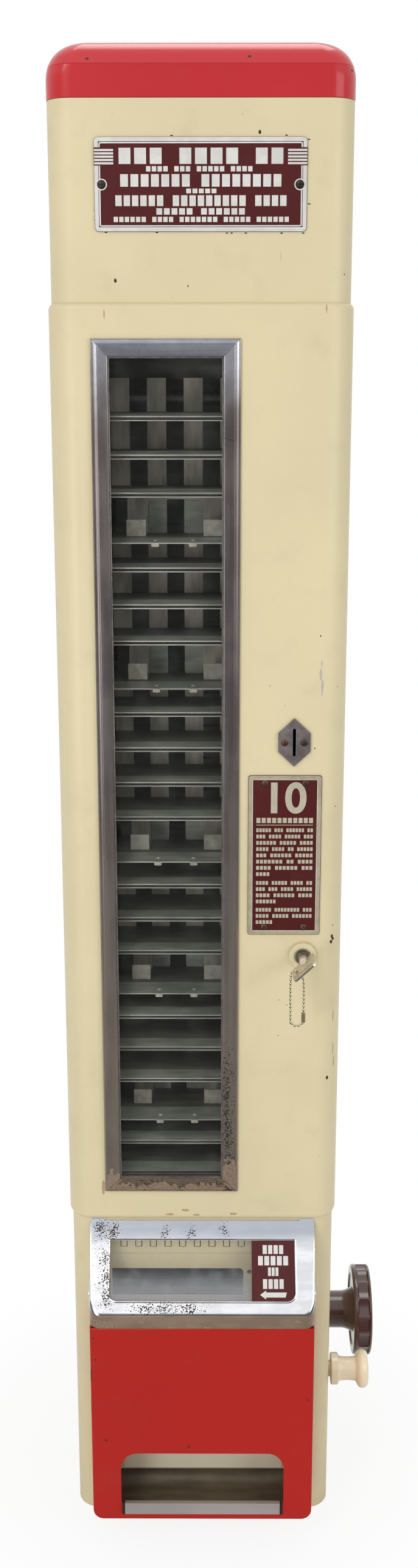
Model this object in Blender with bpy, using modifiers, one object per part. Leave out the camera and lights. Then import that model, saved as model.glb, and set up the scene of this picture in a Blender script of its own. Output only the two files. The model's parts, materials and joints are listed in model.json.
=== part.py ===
"""Coin operated vending machine: a tall sheet steel cabinet with an endless stack of product trays
behind a window, turned by a hand wheel and emptied by a pull handle.

Metres, +Z up. The origin is the middle of the base, the front faces -Y and the hand wheel is at +X.
"""
import math

import bmesh
import bpy
from mathutils import Matrix, Vector

# Shared clearances and roundness
gap = 0.0003
overrun = 0.005
running = 0.0001
bend_steps = 4
round_sides = 20
small_sides = 12

# Cabinet
cabinet_width = 0.2243
cabinet_depth = 0.2032
cabinet_height = 1.2188
cabinet_radius = 0.0195
cabinet_sheet = 0.0012
cap_height = 0.0390
cap_edge = 0.0180
cap_sheet = 0.0015
cap_overhang = 0.0003
base_thickness = 0.0015
back_panel_inset = 0.0170
back_panel_low = 0.0300
back_panel_below_cap = 0.0148
back_hole_border = 0.0120
door_hole_border = 0.0080
delivery_panel_low = 0.0320
delivery_panel_below_hood = 0.0042

# Nameplate on the upper front
nameplate_width = 0.1540
nameplate_height = 0.0645
nameplate_from_top = 0.0656
nameplate_thickness = 0.0010
nameplate_corner = 0.0030
name_screw_spread = 0.0718
name_screw_radius = 0.0028
screw_head = 0.0011

# Door
door_side_clearance = 0.00095
door_low = 0.2928
door_from_top = 0.1800
door_proud = 0.0034
door_wrap = 0.0286
door_radius = 0.0215
door_roll = 0.0050
door_sheet = 0.0012
hinge_radius = 0.0015
hinge_pin_radius = 0.0007
hinge_knuckles = 5
hinge_inset = 0.0100
hinge_leaf_width = 0.0160
hinge_leaf_thickness = 0.0008

# Window
window_from_left = 0.0321
window_above_door_foot = 0.0250
window_width = 0.1120
window_below_door_top = 0.0251
window_band = 0.0140
window_proud = 0.0040
window_edge = 0.0028
window_return = 0.0012
glass_thickness = 0.0030
glass_margin = 0.0030

# Coin slot plate
coin_from_right = 0.0413
coin_below_door_top = 0.3308
coin_plate_width = 0.0254
coin_plate_height = 0.0389
coin_plate_shoulder = 0.0150
coin_plate_thickness = 0.0020
coin_slot_width = 0.0023
coin_slot_height = 0.0223
rivet_radius = 0.0028
rivet_head = 0.0012
coin_rivet_reach = 0.0077

# Instruction plate
instruction_from_right = 0.0481
instruction_below_coin = 0.00735
instruction_width = 0.0583
instruction_height = 0.1332
instruction_thickness = 0.0008
instruction_corner = 0.0020
instruction_rivet_x = 0.0161
instruction_rivet_inset = 0.0065

# Lock, key and ball chain
lock_from_right = 0.0323
lock_below_instruction = 0.0177
lock_boss_radius = 0.0113
lock_boss_proud = 0.0040
lock_boss_edge = 0.0009
lock_body_radius = 0.0092
lock_body_depth = 0.0240
lock_plug_radius = 0.0062
lock_plug_proud = 0.0030
key_bore_radius = 0.0042
key_bore_depth = 0.0120
key_shank_radius = 0.0038
key_barrel_length = 0.0110
key_bow_width = 0.0224
key_bow_length = 0.0250
key_bow_thickness = 0.0020
key_bow_corner = 0.0070
key_turn = math.radians(40)
key_hole_radius = 0.0016
key_hole_reach = 0.0070
cam_length = 0.0240
cam_width = 0.0120
cam_thickness = 0.0020
strike_thickness = 0.0020
bead_radius = 0.0012
bead_pitch = 0.0034
bead_neck_share = 0.4
chain_width = 0.0105
chain_height = 0.0405
chain_left = 0.0062
chain_leave_share = 1.2
chain_shoulder_share = 1.6
chain_steps = 12
cam_margin = 0.0015

# Selection hood over the delivery slot
hood_side_margin = 0.01685
hood_top = 0.2892
hood_edge = 0.2255
hood_lip = 0.2135
hood_reach = 0.0470
hood_corner = 0.0060
hood_sheet = 0.0012
hood_hole_side = 0.0168
hood_hole_height = 0.0496
hood_hole_from_top = 0.0179
hood_hole_corner = 0.0065
selection_glass_margin = 0.0040
selection_glass_thickness = 0.0020
sign_from_right = 0.0195
sign_width = 0.0340
sign_thickness = 0.0008

# Chute housing and tray below the hood
chute_side_step = 0.0008
chute_low = 0.0257
chute_corner = 0.0070
chute_sheet = 0.0012
mouth_half = 0.0700
mouth_low = 0.0418
mouth_high = 0.0920
mouth_shoulder = 0.0760
mouth_top_half = 0.0560
tray_floor = 0.0285
tray_back_height = 0.0430
tray_sheet = 0.0010
tray_margin = 0.0020
tray_lip_half = 0.0670
tray_lip_low = 0.0320
slot_left_reach = 0.0567
slot_right_reach = 0.0563
slot_low = 0.2150
slot_high = 0.2420
slot_cut = 0.0080

# Conveyor of product trays
conveyor_right_of_window = 0.0049
shaft_y = -0.0034
shaft_z = 0.1386
pitch = 0.02867
trays_per_turn = 4
run_head_room = 0.0600
rest_phase = 0.43
shelf_width = 0.1170
shelf_front_clearance = 0.013948
shelf_sheet = 0.0010
shelf_front_band = 0.0127
shelf_drop = 0.0021
finger_width = 0.0151
finger_spread = 0.0290
finger_height = 0.0260
finger_slot_depth = 0.0100
deep_drop = 0.0095
deep_band = 0.0200
deep_leg_width = 0.0164
deep_leg_spread = 0.0304
clip_width = 0.0067
clip_spread = 0.0146
clip_drop = 0.0060
deep_shelves = (4, 8, 13, 17, 21)
section_size = 4
link_width = 0.0030
link_depth = 0.0080
disc_inset = 0.0029
disc_thickness = 0.0030
disc_clearance = 0.0004
lug_width = 0.0080
lug_reach = 0.0010
shaft_radius = 0.0060
frame_clearance = 0.0048
frame_sheet = 0.0015
frame_setback = 0.0316
frame_below_cap = 0.0798
frame_window_share = 0.5
shaft_overhang = 0.0060

# Hand wheel, whose places along its axis are distances out from the cabinet's right wall
wheel_radius = 0.0405
wheel_rim_inner = 0.0320
wheel_rim_start_out = 0.02635
wheel_rim_end_out = 0.04305
wheel_hub_start_out = 0.00135
wheel_hub_radius = 0.0167
wheel_flare_start_out = 0.01635
wheel_flare_radius = 0.0220
wheel_web_start_out = 0.02985
wheel_web_end_out = 0.03505
wheel_hub_end_out = 0.04005
scallop_count = 16
scallop_depth = 0.0020
spoke_hole_count = 5
spoke_hole_radius = 0.0040
wheel_bore_depth = 0.0160
bush_radius = 0.0110
bush_flange_radius = 0.0160
bush_flange = 0.0020

# Pull handle, placed in the same way
handle_setback = 0.0300
handle_z = 0.1223
pivot_from_back = 0.0466
pivot_z = 0.1100
pull_angle = math.radians(24)
neck_radius = 0.0070
collar_start_out = 0.00265
collar_end_out = 0.00945
collar_radius = 0.0139
grip_end_out = 0.02595
grip_radius = 0.0102
flange_end_out = 0.03595
flange_radius = 0.0167
lever_thickness = 0.0040
lever_wall_gap = 0.0040
lever_disc_radius = 0.0175
pivot_boss_radius = 0.0120
pivot_radius = 0.0040
pivot_head_radius = 0.0070
spring_wire = 0.0015
spring_turns = 3
spring_pitch = 0.0032
spring_points = 12

# Ejector between the two runs of trays
ejector_low = 0.2290
ejector_high = 0.2400
ejector_tip_reach = 0.0162
ejector_bar_start = 0.0104
ejector_bar_depth = 0.0060
ejector_travel = 0.0260
prong_width = 0.0090
prong_root = 0.0010
ejector_pin_radius = 0.0040

# Coin works in the right bay
channel_depth = 0.0270
channel_thickness = 0.0074
channel_sheet = 0.0012
channel_setback = 0.0256
works_setback = 0.0026
channel_mouth_drop = 0.0180
channel_head = 0.0320
works_half = 0.0230
works_depth = 0.0890
works_low = 0.1600
works_high = 0.2600
works_neck_low = 0.1180
works_neck_depth = 0.0550
cash_left_step = 0.0020
cash_depth = 0.1390
cash_high = 0.1100
cash_low = 0.0200
cash_sheet = 0.0012

# Places that follow from the sizes above
right_wall = cabinet_width / 2
left_wall = -right_wall
front_wall = -cabinet_depth / 2
back_wall = cabinet_depth / 2
cap_low = cabinet_height - cap_height
back_panel_high = cap_low - back_panel_below_cap
nameplate_low = cabinet_height - nameplate_from_top - nameplate_height
door_width = cabinet_width + 2 * (door_sheet + door_side_clearance)
door_right = door_width / 2
door_high = cabinet_height - door_from_top
door_front = front_wall - door_proud
door_back = front_wall + door_wrap
window_x = window_from_left + window_width / 2 - door_right
window_low = door_low + window_above_door_foot
window_height = door_high - window_below_door_top - window_low
coin_x = door_right - coin_from_right
coin_z = door_high - coin_below_door_top
instruction_x = door_right - instruction_from_right
instruction_low = coin_z - coin_plate_height / 2 - instruction_below_coin - instruction_height
lock_x = door_right - lock_from_right
lock_z = instruction_low - lock_below_instruction
hood_width = cabinet_width - 2 * hood_side_margin
hood_hole_width = hood_width - 2 * hood_hole_side
sign_x = hood_hole_width / 2 - sign_from_right
chute_width = hood_width - 2 * chute_side_step
conveyor_x = window_x + conveyor_right_of_window
slot_left = conveyor_x - slot_left_reach
slot_right = conveyor_x + slot_right_reach
link_radius = pitch * trays_per_turn / (2 * math.pi)
front_line = shaft_y - link_radius
shelf_depth = front_line - front_wall - shelf_front_clearance
run_count = int((door_high - shaft_z - run_head_room) / pitch)
upper_z = shaft_z + run_count * pitch
quarter = 2 * math.pi / trays_per_turn
link_below = deep_drop - shelf_drop + 2 * shelf_sheet
link_above = pitch - link_below - gap
short_finger = pitch - deep_drop - shelf_sheet - 2 * gap
disc_offset = shelf_width / 2 - disc_inset
frame_offset = shelf_width / 2 + frame_clearance
frame_front = front_wall + frame_setback
frame_high = cap_low - frame_below_cap
wheel_rim_start = right_wall + wheel_rim_start_out
wheel_rim_end = right_wall + wheel_rim_end_out
wheel_hub_start = right_wall + wheel_hub_start_out
wheel_flare_start = right_wall + wheel_flare_start_out
wheel_web_start = right_wall + wheel_web_start_out
wheel_web_end = right_wall + wheel_web_end_out
wheel_hub_end = right_wall + wheel_hub_end_out
collar_start = right_wall + collar_start_out
collar_end = right_wall + collar_end_out
grip_end = right_wall + grip_end_out
flange_end = right_wall + flange_end_out
handle_y = front_wall + handle_setback
pivot_y = back_wall - pivot_from_back
ejector_tip = shaft_y - ejector_tip_reach
ejector_bar_front = shaft_y + ejector_bar_start
ejector_bar_back = ejector_bar_front + ejector_bar_depth
channel_front = front_wall + channel_setback
channel_mouth_low = coin_z - channel_mouth_drop
channel_high = coin_z + channel_head
works_front = front_wall + works_setback
works_left = coin_x - works_half
works_right = coin_x + works_half
works_back = works_front + works_depth
works_neck_back = works_front + works_neck_depth
cash_left = works_left - cash_left_step
cash_back = works_front + cash_depth

# Colours as linear red, green and blue, then roughness and metallic
FINISHES = {
    "cream paint": ((0.73, 0.64, 0.40), 0.35, 0.0),
    "red paint": ((0.55, 0.012, 0.018), 0.30, 0.0),
    "maroon paint": ((0.09, 0.010, 0.012), 0.40, 0.0),
    "chrome": ((0.62, 0.62, 0.63), 0.18, 1.0),
    "dull chrome": ((0.30, 0.30, 0.31), 0.35, 1.0),
    "galvanised": ((0.20, 0.21, 0.19), 0.50, 0.8),
    "steel": ((0.45, 0.45, 0.46), 0.40, 1.0),
    "brass": ((0.60, 0.42, 0.16), 0.35, 1.0),
    "bakelite": ((0.045, 0.016, 0.012), 0.25, 0.0),
    "cream plastic": ((0.80, 0.68, 0.42), 0.30, 0.0),
    "glass": ((0.80, 0.85, 0.83), 0.05, 0.0),
}
AXIS_TURNS = {
    "X": Matrix(((0, 0, 1, 0), (1, 0, 0, 0), (0, 1, 0, 0), (0, 0, 0, 1))),
    "Y": Matrix(((1, 0, 0, 0), (0, 0, -1, 0), (0, 1, 0, 0), (0, 0, 0, 1))),
    "Z": Matrix.Identity(4),
}


def clear_scene():
    for item in list(bpy.data.objects):
        bpy.data.objects.remove(item, do_unlink=True)


def collection(name):
    found = bpy.data.collections.get(name)
    if not found:
        found = bpy.data.collections.new(name)
        bpy.context.scene.collection.children.link(found)
    return found


def paint(piece, finish):
    """Gives a piece a material of its own from the named finish."""
    colour, roughness, metallic = FINISHES[finish]
    made = bpy.data.materials.new(piece.name)
    made.use_nodes = True
    shader = made.node_tree.nodes["Principled BSDF"]
    shader.inputs["Base Color"].default_value = (*colour, 1.0)
    shader.inputs["Roughness"].default_value = roughness
    shader.inputs["Metallic"].default_value = metallic
    made.diffuse_color = (*colour, 1.0)
    piece.data.materials.clear()
    piece.data.materials.append(made)


def keep(bm, name, finish=None):
    """Turns a bmesh into an object, in the machine's collection or loose as a shape to cut or join with."""
    bmesh.ops.recalc_face_normals(bm, faces=bm.faces)
    mesh = bpy.data.meshes.new(name)
    bm.to_mesh(mesh)
    bm.free()
    piece = bpy.data.objects.new(name, mesh)
    collection("coin_operated_vending_machine" if finish else "shapes").objects.link(piece)
    if finish:
        paint(piece, finish)
    return piece


def evaluated_mesh(piece):
    bpy.context.view_layer.update()
    graph = bpy.context.evaluated_depsgraph_get()
    return bpy.data.meshes.new_from_object(piece.evaluated_get(graph))


def bake(piece):
    """Applies a piece's modifiers to its mesh."""
    mesh = evaluated_mesh(piece)
    piece.modifiers.clear()
    piece.data = mesh
    return piece


def boolean(piece, others, operation):
    """Joins or cuts a piece with other shapes, which are used up."""
    for other in others:
        step = piece.modifiers.new(operation, "BOOLEAN")
        step.operation = operation
        step.solver = "EXACT"
        step.object = other
    bake(piece)
    for other in others:
        bpy.data.objects.remove(other, do_unlink=True)
    return piece


def cut(piece, *others):
    return boolean(piece, others, "DIFFERENCE")


def join(piece, *others):
    return boolean(piece, others, "UNION")


def block(low, high, name="block", finish=None):
    bm = bmesh.new()
    bmesh.ops.create_cube(bm, size=1)
    size = [b - a for a, b in zip(low, high)]
    centre = [(a + b) / 2 for a, b in zip(low, high)]
    bmesh.ops.scale(bm, vec=size, verts=bm.verts)
    bmesh.ops.translate(bm, vec=centre, verts=bm.verts)
    return keep(bm, name, finish)


def rod(axis, centre, radius, start, end, name="rod", finish=None, sides=round_sides):
    """A round bar along an axis; centre gives the two other coordinates in the axis's own order."""
    bm = bmesh.new()
    bmesh.ops.create_cone(bm, cap_ends=True, segments=sides, radius1=radius, radius2=radius,
                          depth=end - start)
    bmesh.ops.translate(bm, vec=(centre[0], centre[1], 0), verts=bm.verts)
    turn = AXIS_TURNS[axis]
    bmesh.ops.transform(bm, matrix=turn, verts=bm.verts)
    along = turn @ Vector((0, 0, 1))
    middle = (start + end) / 2 * (along.x + along.y + along.z)
    bmesh.ops.translate(bm, vec=along * middle, verts=bm.verts)
    return keep(bm, name, finish)


def plate(axis, outlines, start, end, name="plate", finish=None):
    """A flat piece square to an axis. The first outline is its edge and any others are its holes."""
    curve = bpy.data.curves.new(name, "CURVE")
    curve.dimensions = "2D"
    curve.fill_mode = "BOTH"
    curve.extrude = (end - start) / 2
    for outline in outlines:
        spline = curve.splines.new("POLY")
        spline.points.add(len(outline) - 1)
        for point, (u, v) in zip(spline.points, outline):
            point.co = (u, v, 0, 1)
        spline.use_cyclic_u = True
    drawn = bpy.data.objects.new(name, curve)
    collection("shapes").objects.link(drawn)
    mesh = evaluated_mesh(drawn)
    bpy.data.objects.remove(drawn, do_unlink=True)
    bm = bmesh.new()
    bm.from_mesh(mesh)
    bmesh.ops.remove_doubles(bm, verts=bm.verts, dist=running / 100)
    turn = AXIS_TURNS[axis]
    bmesh.ops.transform(bm, matrix=turn, verts=bm.verts)
    along = turn @ Vector((0, 0, 1))
    middle = (start + end) / 2 * (along.x + along.y + along.z)
    bmesh.ops.translate(bm, vec=along * middle, verts=bm.verts)
    return keep(bm, name, finish)


def turned(axis, centre, profile, name="turned", finish=None, sides=round_sides):
    """A turned piece. The profile is (place along the axis, radius) from one end to the other."""
    bm = bmesh.new()
    rim = [bm.verts.new((radius, 0, along)) for along, radius in profile]
    for first, second in zip(rim, rim[1:]):
        bm.edges.new((first, second))
    piece = keep(bm, name, finish)
    screw = piece.modifiers.new("turn", "SCREW")
    screw.axis = "Z"
    screw.steps = sides
    screw.render_steps = sides
    screw.use_merge_vertices = True
    screw.merge_threshold = running / 100
    bake(piece)
    bm = bmesh.new()
    bm.from_mesh(piece.data)
    bmesh.ops.remove_doubles(bm, verts=bm.verts, dist=running / 100)
    turn = AXIS_TURNS[axis]
    if axis == "Y":
        bmesh.ops.scale(bm, vec=(1, 1, -1), verts=bm.verts)
    bmesh.ops.translate(bm, vec=(centre[0], centre[1], 0), verts=bm.verts)
    bmesh.ops.transform(bm, matrix=turn, verts=bm.verts)
    bmesh.ops.recalc_face_normals(bm, faces=bm.faces)
    bm.to_mesh(piece.data)
    bm.free()
    if finish:
        paint(piece, finish)
    return piece


def moved(piece, matrix):
    piece.data.transform(matrix)
    return piece


def arc(centre, radius, start, end, steps=bend_steps):
    """Points of an arc, in degrees, both ends included."""
    points = []
    for step in range(steps + 1):
        angle = math.radians(start + (end - start) * step / steps)
        points.append((centre[0] + radius * math.cos(angle), centre[1] + radius * math.sin(angle)))
    return points


def circle(centre, radius, sides=round_sides):
    return arc(centre, radius, 0, 360, sides)[:-1]


def rounded(centre, width, height, radius, steps=bend_steps):
    """A rectangle with round corners, counterclockwise."""
    x = width / 2 - radius
    y = height / 2 - radius
    points = []
    for corner, (sx, sy) in enumerate(((1, 1), (-1, 1), (-1, -1), (1, -1))):
        middle = (centre[0] + sx * x, centre[1] + sy * y)
        points += arc(middle, radius, corner * 90, corner * 90 + 90, steps)
    return points


def rectangle(left, right, low, high):
    return [(left, low), (right, low), (right, high), (left, high)]


def bevel_edges(piece, chosen, width, segments):
    """Rounds the edges whose two ends pass a test."""
    bm = bmesh.new()
    bm.from_mesh(piece.data)
    bmesh.ops.dissolve_limit(bm, angle_limit=math.radians(1), verts=bm.verts, edges=bm.edges)
    edges = [edge for edge in bm.edges if all(chosen(vert.co) for vert in edge.verts)]
    bmesh.ops.bevel(bm, geom=edges, offset=width, segments=segments, profile=0.5, affect="EDGES",
                    clamp_overlap=True)
    bmesh.ops.recalc_face_normals(bm, faces=bm.faces)
    bm.to_mesh(piece.data)
    bm.free()
    return piece


def cabinet_outline(offset):
    """The cabinet's plan, grown by an offset, which is negative inside the sheet."""
    return rounded((0, 0), cabinet_width + 2 * offset, cabinet_depth + 2 * offset, cabinet_radius + offset)


def handle_slot(radius):
    """The curved slot that the pull handle's neck runs in, seen from the side."""
    arm_y = handle_y - pivot_y
    arm_z = handle_z - pivot_z
    arm = math.hypot(arm_y, arm_z)
    rest = math.atan2(arm_z, arm_y)
    pulled = rest + pull_angle
    steps = 2 * bend_steps

    def along(reach, angle):
        return (pivot_y + reach * math.cos(angle), pivot_z + reach * math.sin(angle))

    angles = [rest + (pulled - rest) * step / steps for step in range(steps + 1)]
    outer = [along(arm + radius, angle) for angle in angles]
    inner = [along(arm - radius, angle) for angle in reversed(angles)]
    ends = []
    for angle, turn in ((pulled, 0), (rest, 180)):
        facing = math.degrees(angle) + turn
        ends.append(arc(along(arm, angle), radius, facing, facing + 180)[1:-1])
    return outer + ends[0] + inner + ends[1]


def add_cabinet():
    shell = plate("Z", [cabinet_outline(0), cabinet_outline(-cabinet_sheet)], 0, cap_low - gap,
                  "cabinet_shell", "cream paint")
    door_half = right_wall - cabinet_radius
    front = (front_wall - overrun, front_wall + cabinet_sheet + overrun)
    door_hole = block((-door_half, front[0], door_low + door_hole_border),
                      (door_half, front[1], door_high - door_hole_border))
    slot = [(slot_left, slot_low), (slot_right, slot_low), (slot_right, slot_high - slot_cut),
            (slot_right - slot_cut, slot_high), (slot_left, slot_high)]
    panel_high = hood_top - delivery_panel_below_hood
    panel_hole = block((-door_half, front[0], delivery_panel_low), (door_half, front[1], panel_high))
    panel_edge = rectangle(gap - door_half, door_half - gap, delivery_panel_low + gap, panel_high - gap)
    plate("Y", [panel_edge, slot], front_wall, front_wall + cabinet_sheet, "delivery_panel", "cream paint")
    side = (right_wall - cabinet_sheet - overrun, right_wall + overrun)
    wheel_hole = rod("X", (shaft_y, shaft_z), bush_radius + gap, *side)
    pull_slot = plate("X", [handle_slot(neck_radius + 2 * gap)], *side)
    back_gap = block((-door_half, back_wall - cabinet_sheet - overrun, -overrun),
                     (door_half, back_wall + overrun, cap_low))
    cut(shell, door_hole, panel_hole, wheel_hole, pull_slot, back_gap)
    half = right_wall - back_panel_inset - back_hole_border
    frame_edge = rectangle(gap - door_half, door_half - gap, 0, cap_low - gap)
    frame_hole = rectangle(-half, half, back_panel_low + back_hole_border, back_panel_high - back_hole_border)
    plate("Y", [frame_edge, frame_hole], back_wall - cabinet_sheet, back_wall, "back_frame", "cream paint")
    plate("Z", [cabinet_outline(-cabinet_sheet - gap)], 0, base_thickness, "base_plate", "steel")
    panel_half = right_wall - back_panel_inset
    block((-panel_half, back_wall + gap, back_panel_low),
          (panel_half, back_wall + gap + cabinet_sheet, back_panel_high), "back_panel", "cream paint")

    def dome(offset, low, high, edge, name, finish):
        body = plate("Z", [cabinet_outline(cap_overhang - offset)], low, high, name, finish)
        return bevel_edges(body, lambda place: place.z > high - running, edge, bend_steps)

    cap = dome(0, cap_low, cabinet_height, cap_edge, "top_cap", "red paint")
    hollow = dome(cap_sheet, cap_low - overrun, cabinet_height - cap_sheet, cap_edge - cap_sheet, "hollow",
                  None)
    cut(cap, hollow)


def rivets(places, face, radius=rivet_radius, head=rivet_head):
    """Round heads standing out of a front face at the given (x, z) places."""
    crown = head / 2
    made = []
    for place in places:
        made.append(turned("Y", place, [(face - head, 0), (face - head, radius - crown), (face - crown, radius),
                                        (face + crown, radius), (face + crown, 0)], sides=small_sides))
    return made


def add_nameplate():
    face = front_wall - gap - nameplate_thickness
    middle_z = nameplate_low + nameplate_height / 2
    outline = rounded((0, middle_z), nameplate_width, nameplate_height, nameplate_corner, 2)
    sign = plate("Y", [outline], face, front_wall - gap, "nameplate", "maroon paint")
    places = [(side * name_screw_spread, middle_z) for side in (-1, 1)]
    screws = rivets(places, face, name_screw_radius, screw_head)
    join(sign, *screws)


def door_shape(inset, name="door", finish=None):
    """The door as a solid pan, drawn in by the sheet where it is used to hollow the other one."""
    half = door_width / 2 - inset
    front = door_front + inset
    back = door_back + (overrun if inset else 0)
    radius = door_radius - inset
    outline = [(-half, back)]
    outline += arc((-half + radius, front + radius), radius, 180, 270)
    outline += arc((half - radius, front + radius), radius, 270, 360)
    outline += [(half, back)]
    low = door_low + inset
    high = door_high - inset
    body = plate("Z", [outline], low, high, name, finish)
    edge = back - running

    def rolled(place):
        return place.y < edge and (place.z > high - running or place.z < low + running)

    return bevel_edges(body, rolled, max(door_roll - inset, running), 2)


def window_outline(border):
    """The window's outline, drawn in by a border from the outside of its frame."""
    return rectangle(window_x - window_width / 2 + border, window_x + window_width / 2 - border,
                     window_low + border, window_low + window_height - border)


def coin_hexagon():
    half = coin_plate_width / 2
    return [(coin_x - half, coin_z - coin_plate_shoulder / 2), (coin_x, coin_z - coin_plate_height / 2),
            (coin_x + half, coin_z - coin_plate_shoulder / 2), (coin_x + half, coin_z + coin_plate_shoulder / 2),
            (coin_x, coin_z + coin_plate_height / 2), (coin_x - half, coin_z + coin_plate_shoulder / 2)]


def coin_slot(margin):
    half = coin_slot_width / 2 + margin
    tall = coin_slot_height / 2 + margin
    return rectangle(coin_x - half, coin_x + half, coin_z - tall, coin_z + tall)


def through_front(outline):
    """A cutter through the door's front sheet."""
    return plate("Y", [outline], door_front - overrun, door_front + door_sheet + overrun)


def add_door():
    shell = door_shape(0, "door_shell", "cream paint")
    body = plate("Z", [cabinet_outline(gap)], door_low - overrun, door_high + overrun)
    cut(shell, door_shape(door_sheet), body)
    window_hole = window_outline(window_band - window_return - gap)
    lock_hole = circle((lock_x, lock_z), lock_body_radius + gap)
    cut(shell, *[through_front(outline) for outline in (window_hole, coin_slot(gap), lock_hole)])


def add_window():
    face = door_front - gap
    border = plate("Y", [window_outline(0), window_outline(window_band)], face - window_proud, face,
                   "window_frame", "dull chrome")
    left = window_x - window_width / 2 + running
    right = window_x + window_width / 2 - running
    low = window_low + running
    high = window_low + window_height - running

    def outer_front(place):
        on_edge = place.x < left or place.x > right or place.z < low or place.z > high
        return on_edge and place.y < face - window_proud + running

    bevel_edges(border, outer_front, window_edge, 2)
    inner = plate("Y", [window_outline(window_band - window_return), window_outline(window_band)],
                  face - window_proud / 2, door_front + door_sheet)
    join(border, inner)
    pane = window_outline(window_band - window_return - glass_margin)
    start = door_front + door_sheet + gap
    plate("Y", [pane], start, start + glass_thickness, "window_glass", "glass")


def add_door_plates():
    face = door_front - gap - coin_plate_thickness
    slot_plate = plate("Y", [coin_hexagon(), coin_slot(0)], face, door_front - gap, "coin_slot_plate", "steel")
    join(slot_plate, *rivets([(coin_x + side * coin_rivet_reach, coin_z) for side in (-1, 1)], face))
    face = door_front - gap - instruction_thickness
    high = instruction_low + instruction_height
    outline = rounded((instruction_x, (instruction_low + high) / 2), instruction_width, instruction_height,
                      instruction_corner, 2)
    notice = plate("Y", [outline], face, door_front - gap, "instruction_plate", "maroon paint")
    places = [(instruction_x + side * instruction_rivet_x, z) for side in (-1, 1)
              for z in (instruction_low + instruction_rivet_inset, high - instruction_rivet_inset)]
    join(notice, *rivets(places, face))


def add_hinge():
    """A full length hinge whose pin stands at the rear edge of the door's left flange."""
    centre = (-door_width / 2 - gap - hinge_leaf_thickness + hinge_radius, door_back + hinge_radius + 2 * gap)
    low = door_low + hinge_inset
    high = door_high - hinge_inset
    length = (high - low) / hinge_knuckles
    rod("Z", centre, hinge_pin_radius, low, high, "hinge_pin", "steel", small_sides)
    door_face = centre[0] - hinge_radius
    wall_face = left_wall - gap
    leaves = {"door_hinge_leaf": (door_face, door_face + hinge_leaf_thickness, door_back - hinge_leaf_width,
                                  door_back - gap, 1),
              "cabinet_hinge_leaf": (wall_face - hinge_leaf_thickness, wall_face, centre[1] + hinge_radius + gap,
                                     centre[1] + hinge_radius + hinge_leaf_width, 0)}
    for name, (left, right, front, back, first) in leaves.items():
        leaf = block((left, front, low), (right, back, high), name, "cream paint")
        ring = circle(centre, hinge_radius, small_sides)
        parts = []
        for knuckle in range(first, hinge_knuckles, 2):
            start = low + knuckle * length + gap
            end = low + (knuckle + 1) * length - gap
            parts.append(plate("Z", [ring], start, end))
            inside = back - hinge_leaf_thickness if first else front + hinge_leaf_thickness
            near, far = sorted((centre[1], inside))
            parts.append(block((left, near, start), (right, far, end)))
        join(leaf, *parts)
        cut(leaf, rod("Z", centre, hinge_pin_radius + gap / 2, low - overrun, high + overrun,
                      sides=small_sides))


def add_lock():
    centre = (lock_x, lock_z)
    boss_face = door_front - gap - lock_boss_proud
    bore = lock_plug_radius + gap
    end = door_front + lock_body_depth
    turned("Y", centre, [(boss_face, bore), (boss_face, lock_boss_radius - lock_boss_edge),
                         (boss_face + lock_boss_edge, lock_boss_radius), (door_front - gap, lock_boss_radius),
                         (door_front - gap, lock_body_radius), (end, lock_body_radius), (end, bore),
                         (boss_face, bore)], "lock_body", "cream paint")
    plug_face = boss_face - lock_plug_proud
    plug_end = end + gap + cam_thickness
    turned("Y", centre, [(plug_face, key_bore_radius), (plug_face, lock_plug_radius),
                         (plug_end, lock_plug_radius), (plug_end, 0),
                         (plug_face + key_bore_depth, 0), (plug_face + key_bore_depth, key_bore_radius),
                         (plug_face, key_bore_radius)], "lock_plug", "steel")
    return plug_face


def add_key(plug_face):
    """The key and the loop of ball chain through its bow."""
    centre = (lock_x, lock_z)
    shank_end = plug_face + key_bore_depth - 2 * gap
    barrel = plug_face - key_barrel_length
    key = rod("Y", centre, key_shank_radius, barrel, shank_end, "key", "chrome")
    bow_back = barrel + key_bow_corner / 2
    bow_front = bow_back - key_bow_length
    hole_y = bow_front + key_bow_length / 2
    outline = rounded((0, (bow_front + bow_back) / 2), key_bow_width, key_bow_length, key_bow_corner)
    bow = plate("Z", [outline, circle((-key_hole_reach, hole_y), key_hole_radius, small_sides)],
                -key_bow_thickness / 2, key_bow_thickness / 2)
    place = Matrix.Translation((lock_x, 0, lock_z)) @ Matrix.Rotation(-key_turn, 4, "Y")
    join(key, moved(bow, place))
    hole = Vector((lock_x - key_hole_reach * math.cos(key_turn), hole_y,
                   lock_z - key_hole_reach * math.sin(key_turn)))
    return hole


def chain_route(hole):
    """The ball chain's loop: square through the hole, then down both sides to a round bottom."""
    normal = Vector((-math.sin(key_turn), 0, math.cos(key_turn)))
    half = chain_width / 2
    middle = hole.x + half - chain_left
    bottom = hole.z - chain_height
    leave = normal * bead_pitch * chain_leave_share
    shape = [hole, hole + leave, Vector((middle - half, hole.y, hole.z))]
    for angle in range(0, 181, 30):
        turn = math.radians(180 + angle)
        shape.append(Vector((middle + half * math.cos(turn), hole.y, bottom + half + half * math.sin(turn))))
    shape += [Vector((middle + half, hole.y, hole.z - half * chain_shoulder_share)), hole - leave]
    return shape


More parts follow.
